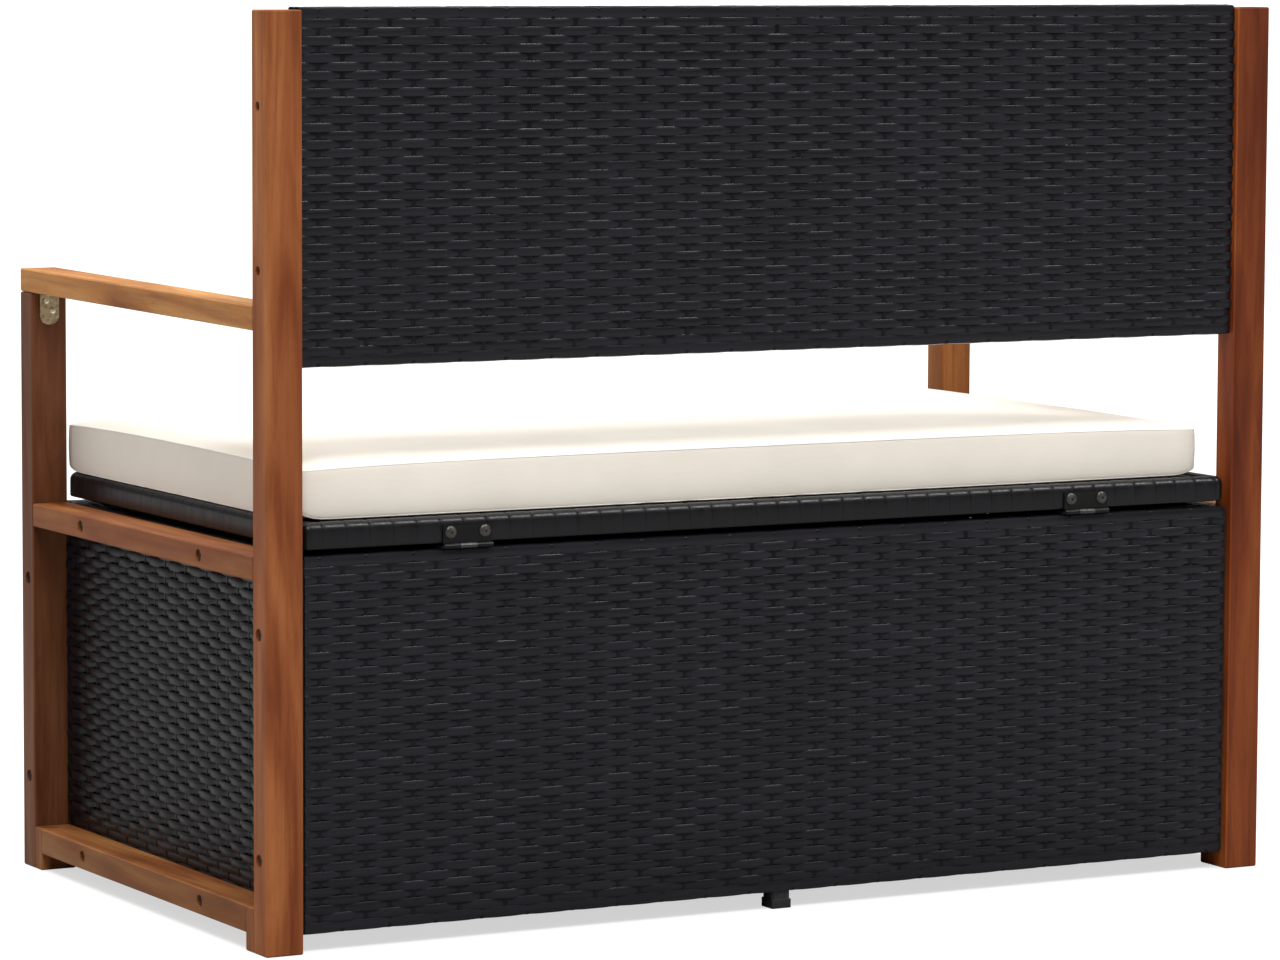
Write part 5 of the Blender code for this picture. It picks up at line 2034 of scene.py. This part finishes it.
    def simulated(self, cover: bpy.types.Object, rest: np.ndarray) -> np.ndarray:
        """Runs the simulation.

        Args:
            cover: The cover.
            rest: Its points before.

        Returns:
            Its points after.
        """
        cloth = cover.modifiers.new("cloth", "CLOTH")
        settings = cloth.settings
        settings.use_pressure = True
        settings.uniform_pressure_force = self.pressure
        settings.tension_stiffness = self.stretch_stiffness
        settings.compression_stiffness = self.stretch_stiffness
        settings.bending_stiffness = self.bend_stiffness
        settings.quality = self.quality
        settings.effector_weights.gravity = 0.0
        cloth.collision_settings.use_collision = False
        scene = bpy.context.scene
        for step in range(1, self.frames + 1):
            scene.frame_set(step)
        found = cover.evaluated_get(bpy.context.evaluated_depsgraph_get()).to_mesh()
        moved = np.zeros(len(found.vertices) * 3)
        found.vertices.foreach_get("co", moved)
        cover.modifiers.remove(cloth)
        scene.frame_set(1)
        return moved.reshape(-1, 3) if len(moved) == rest.size else rest

    def seam(self, name: str, path: np.ndarray, cover: bpy.types.Mesh, finish: bpy.types.Material) -> None:
        """Sewn seam round the cushion, laid on its cover.

        Args:
            name: Name of the piece.
            path: Places that it follows.
            cover: The finished cover.
            finish: Material.
        """
        points = [vertex.co for vertex in cover.vertices]
        tree = BVHTree.FromPolygons(points, [tuple(face.vertices) for face in cover.polygons])
        laid = [tree.find_nearest(Vector(place))[:2] for place in path]
        angles = np.linspace(0.0, math.tau, self.seam_sides, endpoint=False)
        rings = []
        for number, (place, normal) in enumerate(laid):
            ahead = (laid[(number + 1) % len(laid)][0] - laid[number - 1][0]).normalized()
            side = ahead.cross(normal).normalized()
            out = side.cross(ahead).normalized()
            high, wide = out * self.seam_radius * self.seam_flatness, side * self.seam_radius
            rings.append([tuple(place + high * math.cos(angle) + wide * math.sin(angle)) for angle in angles])
        tube = np.array(rings)
        count, sides = tube.shape[:2]
        here = np.arange(count * sides).reshape(count, sides)
        after = np.roll(here, -1, axis=0)
        quads = np.stack((here, np.roll(here, -1, axis=1), np.roll(after, -1, axis=1), after), axis=-1)
        quads = quads.reshape(-1, 4)[:, ::-1]
        mesh = mesh_of(name, tube.reshape(-1, 3), quads.ravel(), np.full(len(quads), 4), 180.0)
        add_piece(mesh, finish, Body.CUSHION)

    def build(self) -> None:
        """Makes the cover and its two seams."""
        finish = CreamFabric("cream_cover").make()
        thread = CreamFabric("cream_seam", colour=(0.90, 0.87, 0.81), pitch=0.0006).make()
        mesh, lower, upper = self.cover()
        cover, places = self.filled(mesh)
        piece = add_piece(cover, finish, Body.CUSHION, (self.node,))
        self.seam("cushion_seam_upper", places[upper], cover, thread)
        self.seam("cushion_seam_lower", places[lower], cover, thread)


# Studio


@dataclass(frozen=True)
class Lamp:
    """A broad distant lamp.

    Attributes:
        name: Its name.
        energy: Its strength.
        wide_deg: Its apparent width.
        way: Direction in which it shines.
        colour: Its colour.
    """

    name: str
    energy: float
    wide_deg: float
    way: Point
    colour: Point

    def hang(self) -> None:
        """Puts the lamp in the scene."""
        data = bpy.data.lights.new(self.name, "SUN")
        data.energy = self.energy
        data.angle = math.radians(self.wide_deg)
        data.color = self.colour
        lamp = place_object(self.name, data)
        lamp.rotation_mode = "QUATERNION"
        lamp.rotation_quaternion = Vector(self.way).to_track_quat("-Z", "Y")


@dataclass
class Studio:
    """Plain pale floor, soft light and the camera.

    Attributes:
        place: Where the camera stands.
        turn_deg: Its view direction, from -Y toward -X.
        dip_deg: How far it looks down.
        roll_deg: Its roll.
        lens_px: Focal length in pixels of the photo.
        photo_px: Width of the photo in pixels.
        sensor_mm: Width of the camera's sensor.
        view_range: Nearest and furthest distance that the camera sees.
        floor_half: Half the floor's width.
        floor_tone: Colour of the floor.
        floor_glow: Light that the floor adds to what the camera sees of it, so that it stays plain.
        sky_low: Strength of the light from the horizon.
        sky_high: Strength of the light from straight above.
        lamps: The lamps.
    """

    place: Point = (2.5995, 4.7382, 0.9191)
    turn_deg: float = 28.7186
    dip_deg: float = 5.6493
    roll_deg: float = 0.2535
    lens_px: float = 5499.0
    photo_px: float = 1280.0
    sensor_mm: float = 36.0
    view_range: tuple[float, float] = (0.1, 500.0)
    floor_half: float = 150.0
    floor_tone: float = 0.40
    floor_glow: float = 0.62
    sky_low: float = 0.12
    sky_high: float = 0.95
    lamps: tuple[Lamp, ...] = (
        Lamp("key", 2.10, 50.0, (-0.02, 0.46, -0.89), (1.0, 0.995, 0.98)),
        Lamp("fill", 1.50, 22.0, (-0.22, -0.54, -0.82), (1.0, 0.985, 0.965)),
        Lamp("sheen", 1.20, 12.0, (0.48, -0.37, -0.80), (1.0, 0.99, 0.98)),
    )

    def camera(self) -> None:
        """Sets up the camera at the photo's viewing angle."""
        turn, dip, roll = (math.radians(x) for x in (self.turn_deg, self.dip_deg, self.roll_deg))
        ahead = Vector((-math.sin(turn) * math.cos(dip), -math.cos(turn) * math.cos(dip), -math.sin(dip)))
        right = Vector((-math.cos(turn), math.sin(turn), 0.0))
        up = right.cross(ahead)
        right_rolled = right * math.cos(roll) + up * math.sin(roll)
        up_rolled = up * math.cos(roll) - right * math.sin(roll)
        data = bpy.data.cameras.new("camera")
        data.sensor_width = self.sensor_mm
        data.lens = self.lens_px / self.photo_px * self.sensor_mm
        data.clip_start, data.clip_end = self.view_range
        camera = place_object("camera", data)
        turned_to = Matrix((right_rolled, up_rolled, -ahead)).transposed().to_4x4()
        camera.matrix_world = Matrix.Translation(Vector(self.place)) @ turned_to
        bpy.context.scene.camera = camera

    def floor(self) -> None:
        """Lays the plain floor."""
        half = self.floor_half
        corners = [(-half, -half, 0), (half, -half, 0), (half, half, 0), (-half, half, 0)]
        mesh = bpy.data.meshes.new("floor")
        mesh.from_pydata(corners, [], [(0, 1, 2, 3)])
        graph = Graph("pale_floor")
        seen = graph.tree.nodes.new("ShaderNodeLightPath").outputs["Is Camera Ray"]
        glow = graph.sum_of(seen, self.floor_glow, "MULTIPLY")
        graph.settle(Base_Color=(*scaled(WHITE, self.floor_tone), 1.0), Roughness=0.95,
                     Specular_IOR_Level=0.0, Emission_Color=(*WHITE, 1.0), Emission_Strength=glow)
        mesh.materials.append(graph.material)
        place_object("floor", mesh)

    def sky(self) -> None:
        """Soft light from all round, brighter from above, on a white ground."""
        world = bpy.data.worlds.new("studio")
        world.use_nodes = True
        tree = world.node_tree
        tree.nodes.clear()
        new, link = tree.nodes.new, tree.links.new
        coordinates = new("ShaderNodeTexCoord")
        split = new("ShaderNodeSeparateXYZ")
        link(coordinates.outputs["Generated"], split.inputs[0])
        climb = new("ShaderNodeMapRange")
        link(split.outputs["Z"], climb.inputs["Value"])
        climb.inputs["To Min"].default_value = self.sky_low
        climb.inputs["To Max"].default_value = self.sky_high
        soft = new("ShaderNodeBackground")
        link(climb.outputs["Result"], soft.inputs["Strength"])
        white = new("ShaderNodeBackground")
        white.inputs["Strength"].default_value = 1.0
        seen = new("ShaderNodeLightPath")
        mixed = new("ShaderNodeMixShader")
        link(seen.outputs["Is Camera Ray"], mixed.inputs[0])
        link(soft.outputs[0], mixed.inputs[1])
        link(white.outputs[0], mixed.inputs[2])
        output = new("ShaderNodeOutputWorld")
        link(mixed.outputs[0], output.inputs["Surface"])
        bpy.context.scene.world = world

    def build(self) -> None:
        """Sets up the whole studio."""
        self.camera()
        self.floor()
        self.sky()
        for lamp in self.lamps:
            lamp.hang()
        settings = bpy.context.scene.view_settings
        settings.view_transform = "Standard"
        settings.look = "None"


def main() -> None:
    """Builds the dressed bench in order."""
    logging.basicConfig(level=logging.INFO, format="%(name)s: %(message)s")
    Studio().build()
    Timber().build()
    rattan = Rattan.make()
    BackPanel().build(rattan)
    BoxPanels().build(rattan)
    Lid().build(rattan)
    dress("floor_board", FibreBoard("floor_board_face").make())
    Steelwork().build()
    SeatCushion().build()


if __name__ == "__main__":
    main()
